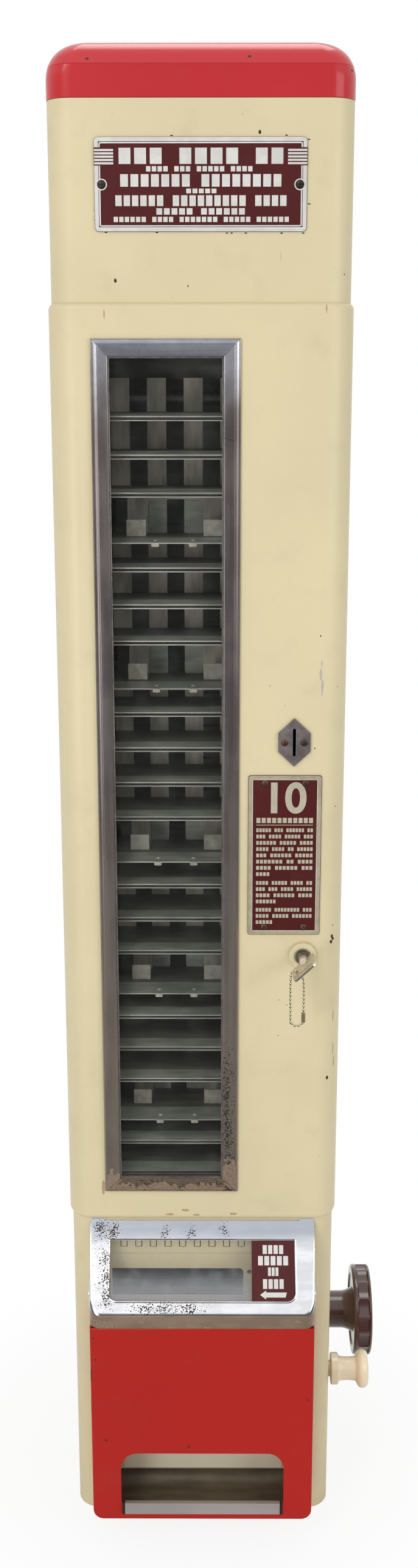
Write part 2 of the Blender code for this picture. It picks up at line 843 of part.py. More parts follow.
def smooth_loop(shape, spacing):
    """Evenly spaced points on a closed smooth curve through the given points."""
    dense = []
    count = len(shape)
    for index in range(count):
        p0, p1, p2, p3 = (shape[(index + shift) % count] for shift in (-1, 0, 1, 2))
        for step in range(chain_steps):
            t = step / chain_steps
            dense.append(0.5 * ((2 * p1) + (p2 - p0) * t + (2 * p0 - 5 * p1 + 4 * p2 - p3) * t * t
                                + (3 * p1 - p0 - 3 * p2 + p3) * t * t * t))
    lengths = [0]
    for first, second in zip(dense, dense[1:] + dense[:1]):
        lengths.append(lengths[-1] + (second - first).length)
    beads = round(lengths[-1] / spacing)
    places = []
    index = 0
    for bead in range(beads * 3):
        target = lengths[-1] * bead / (beads * 3)
        while lengths[index + 1] < target:
            index += 1
        share = (target - lengths[index]) / (lengths[index + 1] - lengths[index])
        places.append(dense[index].lerp(dense[(index + 1) % len(dense)], share))
    return places


def wire(points, name, finish, radii, cyclic=False, resolution=0):
    """A wire or chain as a bevelled curve, turned into one closed mesh."""
    curve = bpy.data.curves.new(name, "CURVE")
    curve.dimensions = "3D"
    curve.bevel_depth = 1
    curve.bevel_resolution = resolution
    curve.use_fill_caps = not cyclic
    spline = curve.splines.new("POLY")
    spline.points.add(len(points) - 1)
    for point, place, radius in zip(spline.points, points, radii):
        point.co = (*place, 1)
        point.radius = radius
    spline.use_cyclic_u = cyclic
    drawn = bpy.data.objects.new(name, curve)
    collection("shapes").objects.link(drawn)
    mesh = evaluated_mesh(drawn)
    bpy.data.objects.remove(drawn, do_unlink=True)
    bm = bmesh.new()
    bm.from_mesh(mesh)
    bmesh.ops.remove_doubles(bm, verts=bm.verts, dist=running / 100)
    return keep(bm, name, finish)


def add_chain(hole):
    places = smooth_loop(chain_route(hole), bead_pitch)
    radii = [bead_radius * (bead_neck_share if index % 3 == 0 else 1) for index in range(len(places))]
    wire(places, "key_chain", "steel", radii, cyclic=True)


def add_cam_and_strike():
    """The cam hangs down when the lock is open and turns behind the strike to lock the door."""
    start = door_front + lock_body_depth + gap
    half = cam_width / 2 + cam_margin
    outline = arc((lock_x, lock_z), half, 0, 180, 2 * bend_steps)
    outline += [(lock_x - half, lock_z - cam_length), (lock_x + half, lock_z - cam_length)]
    hole = circle((lock_x, lock_z), lock_plug_radius + gap)
    plate("Y", [outline, hole], start, start + cam_thickness, "lock_cam", "steel")
    wall = right_wall - cabinet_sheet - gap
    catch_front = start - gap - strike_thickness
    reach = lock_x + cam_length - cam_width / 2
    foot = block((wall - strike_thickness, catch_front, lock_z - cam_width),
                 (wall, start + cam_length / 2, lock_z + cam_width), "strike", "steel")
    tongue = block((reach, catch_front, lock_z - cam_width), (wall, catch_front + strike_thickness,
                                                              lock_z + cam_width))
    join(foot, tongue)


def slope_frame():
    """The place and tilt of the hood's slanted face: local -Y points out and local Z runs up the slope."""
    rise = hood_top - hood_edge
    slant = math.atan2(hood_reach, rise)
    edge = Matrix.Translation((0, front_wall - gap - hood_reach, hood_edge))
    return edge @ Matrix.Rotation(-slant, 4, "X"), math.hypot(rise, hood_reach)


def hood_profile(inset):
    front = front_wall - gap
    lean = inset * math.hypot(hood_reach, hood_top - hood_edge) / hood_reach
    back = front + (overrun if inset else 0)
    top = hood_top - lean + (overrun * (hood_top - hood_edge) / hood_reach if inset else 0)
    low = hood_lip - (overrun if inset else 0)
    drop = inset * (hood_top - hood_edge) / hood_reach
    return [(back, low), (back, top), (front - hood_reach + inset, hood_edge - lean + drop),
            (front - hood_reach + inset, low)]


def hood_solid(inset, name="hollow", finish=None):
    """The hood as a solid wedge with rounded sides, drawn in by the sheet where it hollows the other one."""
    half = hood_width / 2 - inset
    profile = hood_profile(inset)
    wedge = plate("X", [profile], -half, half, name, finish)
    back, low = profile[0]

    def side_edge(place):
        return abs(place.x) > half - running and not (place.y > back - running and place.z < low + running)

    return bevel_edges(wedge, side_edge, hood_corner - inset, 3)


def add_hood():
    hood = hood_solid(0, "selection_hood", "chrome")
    cut(hood, hood_solid(hood_sheet))
    frame, slope = slope_frame()
    high = slope - hood_hole_from_top
    low = high - hood_hole_height
    right = hood_hole_width / 2
    outline = [(right, high), (-right, high)]
    outline += arc((-right + hood_hole_corner, low + hood_hole_corner), hood_hole_corner, 180, 270)
    outline += arc((right - hood_hole_corner, low + hood_hole_corner), hood_hole_corner, 270, 360)
    cut(hood, moved(plate("Y", [outline], -overrun, overrun), frame))
    margin = selection_glass_margin
    pane = rectangle(-right - margin, right + margin, low - margin, high + margin)
    depth = hood_sheet + gap
    moved(plate("Y", [pane], depth, depth + selection_glass_thickness, "selection_glass", "glass"), frame)
    sign = rectangle(sign_x - sign_width / 2, sign_x + sign_width / 2, low + margin / 2, high - margin / 2)
    moved(plate("Y", [sign], depth - gap - sign_thickness, depth - gap, "selection_sign", "maroon paint"), frame)


def add_chute():
    half = chute_width / 2
    front = front_wall - gap - hood_reach
    high = hood_lip - gap

    def shape(inset, start, end, top):
        radius = chute_corner - inset
        low = chute_low + inset
        edge = half - inset
        outline = arc((-edge + radius, low + radius), radius, 180, 270)
        outline += arc((edge - radius, low + radius), radius, 270, 360)
        outline += [(edge, top), (-edge, top)]
        return [outline], start, end

    housing = plate("Y", *shape(0, front, front_wall - gap, high), "chute_housing", "red paint")
    hollow = plate("Y", *shape(chute_sheet, front + chute_sheet, front_wall + overrun, high + overrun))
    mouth = [(-mouth_half, mouth_low), (mouth_half, mouth_low), (mouth_half, mouth_shoulder),
             (mouth_top_half, mouth_high), (-mouth_top_half, mouth_high), (-mouth_half, mouth_shoulder)]
    cut(housing, hollow, plate("Y", [mouth], front - overrun, front + chute_sheet + overrun))
    inside = front + chute_sheet + gap
    outside = front - gap
    top = mouth_low + gap
    back = front_wall - 2 * gap
    sheet = tray_sheet
    hook = [(back, tray_floor), (back, tray_back_height), (back - sheet, tray_back_height),
            (back - sheet, tray_floor + sheet), (inside + sheet, tray_floor + sheet), (inside + sheet, top + sheet),
            (outside - sheet, top + sheet), (outside - sheet, tray_lip_low), (outside, tray_lip_low),
            (outside, top), (inside, top), (inside, tray_floor)]
    tray = plate("X", [hook], -tray_lip_half, tray_lip_half, "delivery_tray", "galvanised")
    wide = half - tray_margin - chute_sheet - gap
    join(tray, block((-wide, inside, tray_floor), (wide, back, tray_floor + sheet)))


def taken(piece):
    """The mesh of a pattern piece, which is used up."""
    mesh = piece.data
    bpy.data.objects.remove(piece, do_unlink=True)
    return mesh


def shelf_mesh(comb, deep=False, hidden=False):
    """One product tray about its chain line: the floor runs to -Y and the comb stands up at the back.

    Trays that are never seen are drawn without the slots in their comb.
    """
    drop = deep_drop if deep else 0
    band = deep_band if deep else shelf_front_band
    half = shelf_width / 2
    sheet = shelf_sheet
    front = -shelf_depth
    floor = shelf_drop - drop
    lip = -drop
    top = shelf_drop + comb
    side = [(0, floor - sheet), (0, top), (-sheet, top), (-sheet, floor), (front + band, floor),
            (front, lip), (front, lip - sheet), (front + band, floor - sheet)]
    shelf = plate("X", [side], -half, half)
    if not deep:
        slots = []
        outer = 1.5 * finger_spread + finger_width / 2
        for side in (-1, 1):
            near, far = sorted((side * outer, side * (half + overrun)))
            slots.append(block((near, -overrun / 2, floor + gap), (far, overrun, top + overrun)))
        hole = (finger_spread - finger_width) / 2
        for x in () if hidden else (-finger_spread, 0, finger_spread):
            slots.append(block((x - hole, -finger_slot_depth, floor - overrun),
                               (x + hole, overrun, top + overrun)))
        return taken(cut(shelf, *slots))
    leg = deep_leg_spread - deep_leg_width / 2
    window = block((-leg, -overrun / 2, floor + sheet * 2), (leg, overrun, top - deep_leg_width / 2))
    ends = []
    for side in (-1, 1):
        near, far = sorted((side * (deep_leg_spread + deep_leg_width / 2), side * (half + overrun)))
        ends.append(block((near, -overrun / 2, floor + sheet), (far, overrun, top + overrun)))
    cut(shelf, window, *ends)
    clips = [block((x - clip_width / 2, front - sheet / 2, lip - clip_drop),
                   (x + clip_width / 2, front + sheet / 2, lip - sheet / 3))
             for x in (-clip_spread, clip_spread)]
    return taken(join(shelf, *clips))


def placed_shelf(mesh, angle, height):
    """A copy of a tray whose chain point lies on the front run at a height, turned about the shaft's line."""
    piece = bpy.data.objects.new("shelf", mesh.copy())
    collection("shapes").objects.link(piece)
    arm = Matrix.Translation((conveyor_x, 0, 0)) @ Matrix.Translation((0, -link_radius, 0))
    turn = Matrix.Translation((0, shaft_y, height)) @ Matrix.Rotation(angle, 4, "X")
    return moved(piece, turn @ arm)


def link_bars(near, far, low, high):
    """The chain's side bars along one stretch, at both ends of the trays."""
    inner = shelf_width / 2 - link_width / 3
    outer = inner + link_width
    spans = ((conveyor_x - outer, conveyor_x - inner), (conveyor_x + inner, conveyor_x + outer))
    return [block((left, near, low), (right, far, high)) for left, right in spans]


def run_section(name, meshes, places, front):
    """Trays of one stretch with the chain bars that carry them."""
    angle = 0 if front else math.pi
    rear_line = 2 * shaft_y - front_line
    near, far = (front_line - link_depth, front_line) if front else (rear_line, rear_line + link_depth)
    shelves = [placed_shelf(mesh, angle, place) for mesh, place in zip(meshes, places)]
    up = link_above if front else link_below
    down = link_below if front else link_above
    bars = link_bars(near, far, min(places) - down, max(places) + up)
    body = shelves[0]
    join(body, *shelves[1:], *bars)
    body.name = name
    for holder in list(body.users_collection):
        holder.objects.unlink(body)
    collection("coin_operated_vending_machine").objects.link(body)
    paint(body, "galvanised")


def turn_section(name, mesh, height, angles):
    """Two trays on the sprocket discs of one shaft."""
    disc_radius = link_radius - disc_clearance
    shelves = [placed_shelf(mesh, angle, height) for angle in angles]
    pieces = []
    hubs = []
    for side in (-1, 1):
        start = conveyor_x + side * (disc_offset + disc_thickness / 2) - disc_thickness / 2
        end = start + disc_thickness
        middle = (shaft_y, height)
        hubs.append(plate("X", [circle(middle, disc_radius), circle(middle, shaft_radius + gap)], start, end))
        for angle in angles:
            lug = block((start, -link_radius - lug_reach, -lug_width / 2),
                        (end, -disc_radius + lug_width / 2, lug_width / 2))
            pieces.append(moved(lug, Matrix.Translation((0, shaft_y, height)) @ Matrix.Rotation(angle, 4, "X")))
    body = shelves[0]
    join(body, *shelves[1:], *hubs, *pieces)
    body.name = name
    for holder in list(body.users_collection):
        holder.objects.unlink(body)
    collection("coin_operated_vending_machine").objects.link(body)
    paint(body, "galvanised")


def add_conveyor():
    plain = shelf_mesh(finger_height)
    short = shelf_mesh(short_finger)
    deep = shelf_mesh(finger_height, deep=True)
    unseen = shelf_mesh(finger_height, hidden=True)
    front_places = [shaft_z + pitch * (index - rest_phase) for index in range(1, run_count + 1)]
    front_places.reverse()
    meshes = [deep if index + 1 in deep_shelves else short if index in deep_shelves else plain
              for index in range(run_count)]
    sections = run_count // section_size
    for section in range(sections):
        first = section * section_size
        last = run_count if section == sections - 1 else first + section_size
        run_section(f"front_trays_{section + 1}", meshes[first:last], front_places[first:last], True)
    rear_places = [shaft_z + pitch * (index + rest_phase) for index in range(run_count)]
    half = (run_count + 1) // 2
    run_section("rear_trays_lower", [unseen] * half, rear_places[:half], False)
    run_section("rear_trays_upper", [unseen] * (run_count - half), rear_places[half:], False)
    turn_section("lower_turn_trays", unseen, shaft_z, [quarter * (turn + rest_phase) for turn in (0, 1)])
    turn_section("upper_turn_trays", unseen, upper_z, [quarter * (turn + rest_phase) for turn in (2, 3)])


def add_shafts_and_frames():
    left = conveyor_x - frame_offset
    right = conveyor_x + frame_offset
    rod("X", (shaft_y, shaft_z), shaft_radius, left - frame_sheet - shaft_overhang,
        wheel_hub_start + wheel_bore_depth, "drive_shaft", "steel")
    rod("X", (shaft_y, upper_z), shaft_radius, left - frame_sheet - shaft_overhang,
        right + frame_sheet + shaft_overhang, "upper_shaft", "steel")
    slot = rectangle(ejector_bar_front - ejector_travel - gap, ejector_bar_back + gap,
                     (ejector_low + ejector_high) / 2 - ejector_pin_radius - gap,
                     (ejector_low + ejector_high) / 2 + ejector_pin_radius + gap)
    edge = rectangle(frame_front, back_wall - cabinet_sheet - gap, base_thickness + gap, frame_high)
    middle = (shaft_z + upper_z) / 2
    tall = (upper_z - shaft_z) * frame_window_share / 2
    light = rounded((shaft_y, middle), link_radius * 2, tall * 2, link_radius / 2)
    for name, start in (("left_side_frame", left - frame_sheet), ("right_side_frame", right)):
        holes = [circle((shaft_y, z), shaft_radius + gap) for z in (shaft_z, upper_z)]
        plate("X", [edge, slot, light, *holes], start, start + frame_sheet, name, "galvanised")
    bush_start = right_wall - cabinet_sheet - gap - bush_flange
    bore = shaft_radius + gap
    turned("X", (shaft_y, shaft_z), [(bush_start, bore), (bush_start, bush_flange_radius),
                                     (bush_start + bush_flange, bush_flange_radius),
                                     (bush_start + bush_flange, bush_radius),
                                     (wheel_hub_start - gap, bush_radius), (wheel_hub_start - gap, bore),
                                     (bush_start, bore)], "wheel_bush", "brass")


def scalloped(centre, steps=4):
    """The hand wheel's rim outline: a circle dented between its finger ridges."""
    points = []
    count = scallop_count * steps
    for step in range(count):
        angle = 2 * math.pi * step / count
        dent = scallop_depth * (1 - abs(math.cos(angle * scallop_count / 2)))
        radius = wheel_radius - dent
        points.append((centre[0] + radius * math.cos(angle), centre[1] + radius * math.sin(angle)))
    return points


def add_hand_wheel():
    centre = (shaft_y, shaft_z)
    bore = shaft_radius + gap
    hub = turned("X", centre, [(wheel_hub_start, bore), (wheel_hub_start, wheel_hub_radius),
                               (wheel_flare_start, wheel_hub_radius), (wheel_web_start, wheel_flare_radius),
                               (wheel_hub_end, wheel_flare_radius), (wheel_hub_end, 0),
                               (wheel_hub_start + wheel_bore_depth + gap, 0),
                               (wheel_hub_start + wheel_bore_depth + gap, bore),
                               (wheel_hub_start, bore)], "hand_wheel", "bakelite")
    inner = circle(centre, wheel_rim_inner)
    rim = plate("X", [scalloped(centre), inner], wheel_rim_start, wheel_rim_end)
    ring = (wheel_flare_radius + wheel_rim_inner) / 2
    holes = [circle((centre[0] + ring * math.cos(angle), centre[1] + ring * math.sin(angle)), spoke_hole_radius,
                    small_sides)
             for angle in (2 * math.pi * index / spoke_hole_count for index in range(spoke_hole_count))]
    web = plate("X", [circle(centre, wheel_rim_inner + overrun / 2), *holes], wheel_web_start + gap,
                wheel_web_end)
    join(hub, web, rim)


def dumbbell(first, first_radius, second, second_radius):
    """The outline round two circles."""
    along = math.degrees(math.atan2(second[1] - first[1], second[0] - first[0]))
    spread = math.degrees(math.acos((first_radius - second_radius) / math.dist(first, second)))
    return (arc(second, second_radius, along - spread, along + spread, 3 * bend_steps)
            + arc(first, first_radius, along + spread, along + 360 - spread, 3 * bend_steps))


def add_handle():
    knob = (handle_y, handle_z)
    pivot = (pivot_y, pivot_z)
    lever_end = right_wall - cabinet_sheet - lever_wall_gap
    lever_start = lever_end - lever_thickness
    neck_end = lever_end + gap
    edge = collar_radius - grip_radius
    turned("X", knob, [(neck_end, 0), (neck_end, neck_radius), (collar_start, neck_radius),
                       (collar_start, collar_radius), (collar_end, collar_radius),
                       (collar_end + edge, grip_radius), (grip_end - edge, grip_radius),
                       (grip_end, flange_radius - edge), (grip_end + edge, flange_radius),
                       (flange_end - edge, flange_radius), (flange_end, flange_radius - 2 * edge),
                       (flange_end, 0)], "pull_knob", "cream plastic")
    outline = dumbbell(pivot, pivot_boss_radius, knob, lever_disc_radius)
    plate("X", [outline, circle(pivot, pivot_radius + gap)], lever_start, lever_end, "handle_lever",
          "steel")
    wall = right_wall - cabinet_sheet - gap
    coil_start = lever_start - gap * 2 - spring_wire * 2 - spring_turns * spring_pitch
    turned("X", pivot, [(coil_start - bush_flange, 0), (coil_start - bush_flange, pivot_head_radius),
                        (coil_start - gap, pivot_head_radius), (coil_start - gap, pivot_radius),
                        (lever_end + gap, pivot_radius), (lever_end + gap, pivot_head_radius),
                        (wall, pivot_head_radius), (wall, 0)], "pivot_pin", "steel", small_sides)
    coil_radius = pivot_radius + spring_wire / 2 + 3 * gap
    count = spring_turns * spring_points
    places = []
    for step in range(count + 1):
        angle = 2 * math.pi * step / spring_points
        places.append((coil_start + spring_wire + spring_pitch * step / spring_points,
                       pivot_y + coil_radius * math.cos(angle), pivot_z + coil_radius * math.sin(angle)))
    wire(places, "return_spring", "steel", [spring_wire / 2] * len(places))


def add_ejector():
    left = conveyor_x - frame_offset
    right = conveyor_x + frame_offset
    bar = block((left + gap, ejector_bar_front, ejector_low), (right - gap, ejector_bar_back, ejector_high),
                "ejector", "galvanised")
    prongs = [block((conveyor_x + place * finger_spread - prong_width / 2, ejector_tip, ejector_low),
                    (conveyor_x + place * finger_spread + prong_width / 2, ejector_bar_front + prong_root,
                     ejector_high)) for place in (-1, 0, 1)]
    middle = ((ejector_bar_front + ejector_bar_back) / 2, (ejector_low + ejector_high) / 2)
    radius = min(ejector_pin_radius, (ejector_bar_back - ejector_bar_front) / 2 - gap)
    pin = rod("X", middle, radius, left - frame_sheet - overrun, right + frame_sheet + overrun,
              sides=small_sides)
    join(bar, *prongs, pin)


def add_coin_channel():
    left = coin_x - channel_thickness / 2
    right = coin_x + channel_thickness / 2
    back = channel_front + channel_depth
    sheet = channel_sheet
    channel = block((left, channel_front, works_high + gap), (right, back, channel_high), "coin_channel",
                    "galvanised")
    join(channel, block((left, works_front, channel_mouth_low), (right, channel_front + sheet,
                                                                         channel_high)))
    hollow = block((left + sheet, channel_front + sheet, works_high - overrun),
                   (right - sheet, back - sheet, channel_high - sheet))
    mouth = block((left + sheet, works_front - overrun, channel_mouth_low + sheet),
                  (right - sheet, channel_front + 2 * sheet, channel_high - sheet))
    cut(channel, hollow, mouth)
    return left, right, back


def add_coin_works():
    left, right, back = add_coin_channel()
    sheet = channel_sheet
    works = block((works_left, works_front, works_low), (works_right, works_back, works_high), "coin_works",
                  "steel")
    neck = block((left - overrun, channel_front - overrun, works_neck_low),
                 (right + overrun, works_neck_back, works_low + overrun))
    join(works, neck)
    throat = block((left + sheet, channel_front + sheet, works_neck_low - overrun),
                   (right - sheet, back - sheet, works_high + overrun))
    cut(works, throat)
    box = block((cash_left, works_front, cash_low), (works_right, cash_back, cash_high), "cash_box", "red paint")
    inside = block((cash_left + cash_sheet, works_front + cash_sheet, cash_low + cash_sheet),
                   (works_right - cash_sheet, cash_back - cash_sheet, cash_high + overrun))
    cut(box, inside)
    frame_right = conveyor_x + frame_offset + frame_sheet
    shelf = block((frame_right + gap, works_front, cash_low - gap - cash_sheet),
                  (works_right, cash_back, cash_low - gap), "cash_shelf", "galvanised")
    leg = block((works_right - cash_sheet, works_front, base_thickness + gap),
                (works_right, cash_back, cash_low - gap))
    join(shelf, leg)


def main():
    clear_scene()
    add_cabinet()
    add_nameplate()
    add_door()
    add_window()
    add_door_plates()
    add_hinge()
    plug_face = add_lock()
    hole = add_key(plug_face)
    add_chain(hole)
    add_cam_and_strike()
    add_hood()
    add_chute()
    add_conveyor()
    add_shafts_and_frames()
    add_hand_wheel()
    add_handle()
    add_ejector()
    add_coin_works()


main()
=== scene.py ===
# Coin operated vending machine: the finer pieces, finishes, floor, lamps and camera around its frame
import json
import math

import bmesh
import bpy
from mathutils import Matrix, Vector


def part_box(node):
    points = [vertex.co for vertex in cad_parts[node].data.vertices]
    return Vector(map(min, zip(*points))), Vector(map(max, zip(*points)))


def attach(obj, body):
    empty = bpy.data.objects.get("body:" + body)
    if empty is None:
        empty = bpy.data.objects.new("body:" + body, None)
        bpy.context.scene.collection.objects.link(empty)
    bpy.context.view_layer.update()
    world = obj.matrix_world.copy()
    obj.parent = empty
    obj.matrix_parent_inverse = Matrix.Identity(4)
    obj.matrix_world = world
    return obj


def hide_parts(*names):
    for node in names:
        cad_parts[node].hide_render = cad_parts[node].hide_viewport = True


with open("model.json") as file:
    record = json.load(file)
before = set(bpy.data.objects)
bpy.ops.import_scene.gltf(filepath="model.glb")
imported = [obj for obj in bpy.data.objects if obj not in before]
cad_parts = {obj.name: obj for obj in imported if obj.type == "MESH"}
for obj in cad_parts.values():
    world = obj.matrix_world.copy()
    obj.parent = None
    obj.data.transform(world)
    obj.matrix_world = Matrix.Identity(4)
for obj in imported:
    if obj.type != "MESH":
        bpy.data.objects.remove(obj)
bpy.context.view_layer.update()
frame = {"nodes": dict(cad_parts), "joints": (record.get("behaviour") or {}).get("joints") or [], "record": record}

# Camera: the photograph's frame in pixels, and where it was taken from
image_width = 687
image_height = 2576
focal_pixels = 2570.6
sensor_height = 36.0
camera_place = Vector((0.0109, -1.3066, 0.9820))
camera_pitch = math.radians(14.380)
camera_yaw = math.radians(-0.241)
camera_roll = math.radians(-0.026)

# How bright mirrors see the side of the room that the camera stands on
dim_side = 0.12

# Clearances and smoothness shared by all pieces
gap = 0.0003
overrun = 0.005
tiny = 0.00001
round_steps = 12
turn_steps = 48
sharp_angle = math.radians(32)

# Cabinet
cabinet_radius = 0.0195
sheet = 0.0012
cap_edge = 0.0180
cap_side = 0.0250
cap_sheet = 0.0015
cap_bead = 0.0005
cap_bead_z = 1.2024
door_hole_border = 0.0080
back_hole_border = 0.0120
wheel_hole_radius = 0.0113
handle_slot_half = 0.0076
slot_left = -0.0780
slot_right = 0.0353
slot_low = 0.2150
slot_high = 0.2414
slot_corner = 0.0040
pin_hole = (0.0404, 0.2382)
pin_hole_radius = 0.0012
first_notch_x = -0.0674
notch_count = 9
notch_pitch = 0.0126
notch_width = 0.0060
notch_line = 0.0007
notch_low = 0.2621
notch_high = 0.2690
fold_z = 0.2556
fold_width = 0.0006

# Door
door_radius = 0.0215
door_roll = 0.0050
door_foot = 0.2896
door_head = 1.0396
hinge_knuckles = 5
hinge_radius = 0.0015
hinge_leaf = 0.0005
hinge_leaf_width = 0.0150
window_band = 0.0140
window_return = 0.0012
trim_seams = (((229.3, 573), (229.3, 591)), ((366, 719.5), (386, 724.5)))
seam_half = 0.0002
seam_depth = 0.0006
# The trim's roll: how far in from its edge, and the share of its height
trim_roll = ((0, 0), (0, 0.30), (0.0005, 0.58), (0.0014, 0.80), (0.0026, 0.95), (0.0038, 1), (0.0044, 0.93),
             (0.0050, 0.98), (0.0118, 0.98), (0.0126, 0.88))

# Plates and rivets on the door and the front
coin_plate_shoulder = 0.0150
coin_slot_width = 0.0023
coin_slot_height = 0.0223
rivet_radius = 0.0028
rivet_head = 0.0012
coin_rivet_reach = 0.0077
notice_rivet_x = 0.0161
notice_rivet_inset = 0.0065
name_screw_spread = 0.0718
screw_head = 0.0011
screw_ring = 0.0040
screw_field = 0.0032
bar_length = 0.0140
bar_pitch = 0.00224
bar_width = 0.00145
bars_from_top = 0.0082
title_rows = (
    (0.114, 0.170, 0.116, 0.887, (3, 4, 2)), (0.307, 0.056, 0.244, 0.743, (4, 3, 5, 4)),
    (0.391, 0.132, 0.122, 0.879, (7, 8)), (0.544, 0.049, 0.432, 0.574, (5,)),
    (0.614, 0.114, 0.098, 0.904, (6, 9, 4)), (0.751, 0.068, 0.291, 0.708, (5, 6)),
    (0.842, 0.056, 0.089, 0.916, (6, 4, 7, 5, 6)))
block_space = 0.24
group_space = 0.90
notice_margin = 0.0066
notice_pitch = 0.00524
notice_letter = 0.0031
numeral_drop = 0.0198
numeral_height = 0.0255
heading_drop = 0.0348
heading_letter = 0.0043
notice_rule_drop = 0.0405
notice_rule = 0.0005
# Blocks in a full line of the notice, and in the longest line that stops short
full_line = 17
short_line = 10
notice_paragraphs = (
    (0.0435, ((5, 3, 6, 2), (3, 4, 5, 3), (6, 5, 4), (4, 4, 2, 5), (3, 6, 5), (7, 2, 4), (4, 6, 3), (4,))),
    (0.0876, ((4, 5, 4, 2), (3, 3, 4, 5), (4, 6, 4), (6,))), (0.1104, ((5, 8, 3), (4, 5, 6), (5,))))

# Lock, key and ball chain
key_turn = math.radians(43.5)
key_bow_width = 0.0232
key_bow_length = 0.0250
key_bow_corner = 0.0038
key_barrel_length = 0.0110
key_hole_reach = 0.0070
key_hole_radius = 0.0016
key_reach = 0.012
key_slot_span = (-0.0050, 0.0085)
key_slot_place = 0.0040
key_slot_width = 0.0018
connector_drop = 0.854
bead_radius = 0.00118
bead_pitch = 0.00335
chain_wire = 0.00035
chain_width = 0.0103
chain_height = 0.0452
chain_left = 0.0055

# Hood and chute
hood_edge = 0.2255
hood_top = 0.2892
hood_step = 0.0016
hood_ear = 0.0125
hood_bead = 0.0007
hood_rivet = (0.0026, 0.0010)
hood_rivet_depth = 0.0060
hood_rivet_heights = (0.0180, 0.0540)
pane_margin = 0.0030
pane_thickness = 0.0020
hood_plan_corner = 0.0100
hood_bend = 0.0024
hood_hole_side = 0.0168
hood_hole_height = 0.0496
hood_hole_from_top = 0.0179
hood_hole_corner = 0.0070
sign_width = 0.0363
arrow_drop = 0.0440
arrow_half = 0.0112
arrow_head = 0.0036
arrow_thick = 0.0020
sign_rows = ((0.26, 0.0036, 0.0072, 4), (0.15, 0.0125, 0.0076, 5), (0.38, 0.0218, 0.0069, 3),
             (0.26, 0.0313, 0.0078, 4))
chute_corner = 0.0090
mouth_half = 0.0700
mouth_low = 0.0418
mouth_high = 0.0920
mouth_shoulder = 0.0760
mouth_top_half = 0.0560
chute_bend = 0.0016
lip_half = 0.0670
lip_low = 0.0320
lip_end = 0.0022
scoop_back_high = 0.0410

# Hand wheel
wheel_flutes = 16
web_holes = 5
web_hole_radius = 0.0040
nut = (0.0065, 0.0016)

# Trays of the conveyor
pitch = 0.02867
trays_per_turn = 4
rest_phase = 0.43
run_count = 29
section_size = 4
deep_trays = (4, 8, 13, 17, 21)
shelf_width = 0.1170
shelf_depth = 0.0660
tray_sheet = 0.0010
tray_drop = 0.0021
tray_band = 0.0127
finger_width = 0.0151
finger_spread = 0.0290
finger_height = 0.0260
short_finger = 0.0175
finger_slot_depth = 0.0020
comb_y = -0.0125
foot_rise = 0.0134
foot_reach = 0.0055
deep_drop = 0.0095
deep_band = 0.0200
leg_width = 0.0164
leg_spread = 0.0304
clip_width = 0.0060
clip_spread = 0.0146
clip_drop = 0.0032
tray_fold = 0.0038


# Shader maths
class Value:
    """A node's output. The operators on it add Math nodes."""

    def __init__(self, nodes, socket):
        self.nodes = nodes
        self.socket = socket

    def feed(self, entry):
        self.nodes.tree.links.new(self.socket, entry)

    def maths(self, operation, *terms):
        return self.nodes.node("ShaderNodeMath", {"operation": operation}, dict(enumerate(terms)))

    def __add__(self, other):
        return self.maths("ADD", self, other)

    def __sub__(self, other):
        return self.maths("SUBTRACT", self, other)

    def __rsub__(self, other):
        return self.maths("SUBTRACT", other, self)

    def __mul__(self, other):
        return self.maths("MULTIPLY", self, other)

    def __truediv__(self, other):
        return self.maths("DIVIDE", self, other)

    __radd__ = __add__
    __rmul__ = __mul__

    def root(self):
        return self.maths("SQRT", self)

    def least(self, other):
        return self.maths("MINIMUM", self, other)

    def most(self, other):
        return self.maths("MAXIMUM", self, other)

    def step(self, low, high):
        """Rises smoothly from 0 at low to 1 at high."""
        return self.nodes.node("ShaderNodeMapRange", {"interpolation_type": "SMOOTHSTEP"},
                               {"Value": self, "From Min": low, "From Max": high})


def tone(red, green, blue):
    """A colour as it looks on a screen, 0 to 255, in the linear values that shaders take."""
    parts = []
    for part in (red / 255, green / 255, blue / 255):
        parts.append(part / 12.92 if part <= 0.04045 else ((part + 0.055) / 1.055) ** 2.4)
    return (*parts, 1.0)


def shaded(colour, factor):
    """A colour made darker or lighter."""
    return (*(min(part * factor, 1.0) for part in colour[:3]), 1.0)


class Nodes:
    """A tree of shader nodes, which come from one method."""

    def __init__(self, tree):
        self.tree = tree

    def node(self, kind, settings=None, sockets=None, output=0):
        made = self.tree.nodes.new(kind)
        for key, value in (settings or {}).items():
            setattr(made, key, value)
        for key, value in (sockets or {}).items():
            if isinstance(value, Value):
                value.feed(made.inputs[key])
            else:
                made.inputs[key].default_value = value
        return Value(self, made.outputs[output])

    def mix(self, share, first, second):
        return self.node("ShaderNodeMix", {"data_type": "RGBA"}, {0: share, 6: first, 7: second}, output=2)

    def shown_over(self, share, lower, upper, end):
        """Sends two mixed shaders to the output that a tree ends in."""
        sockets = {0: share, 1: Value(self, lower.outputs[0]), 2: upper}
        self.node("ShaderNodeMixShader", None, sockets).feed(self.tree.nodes[end].inputs[0])


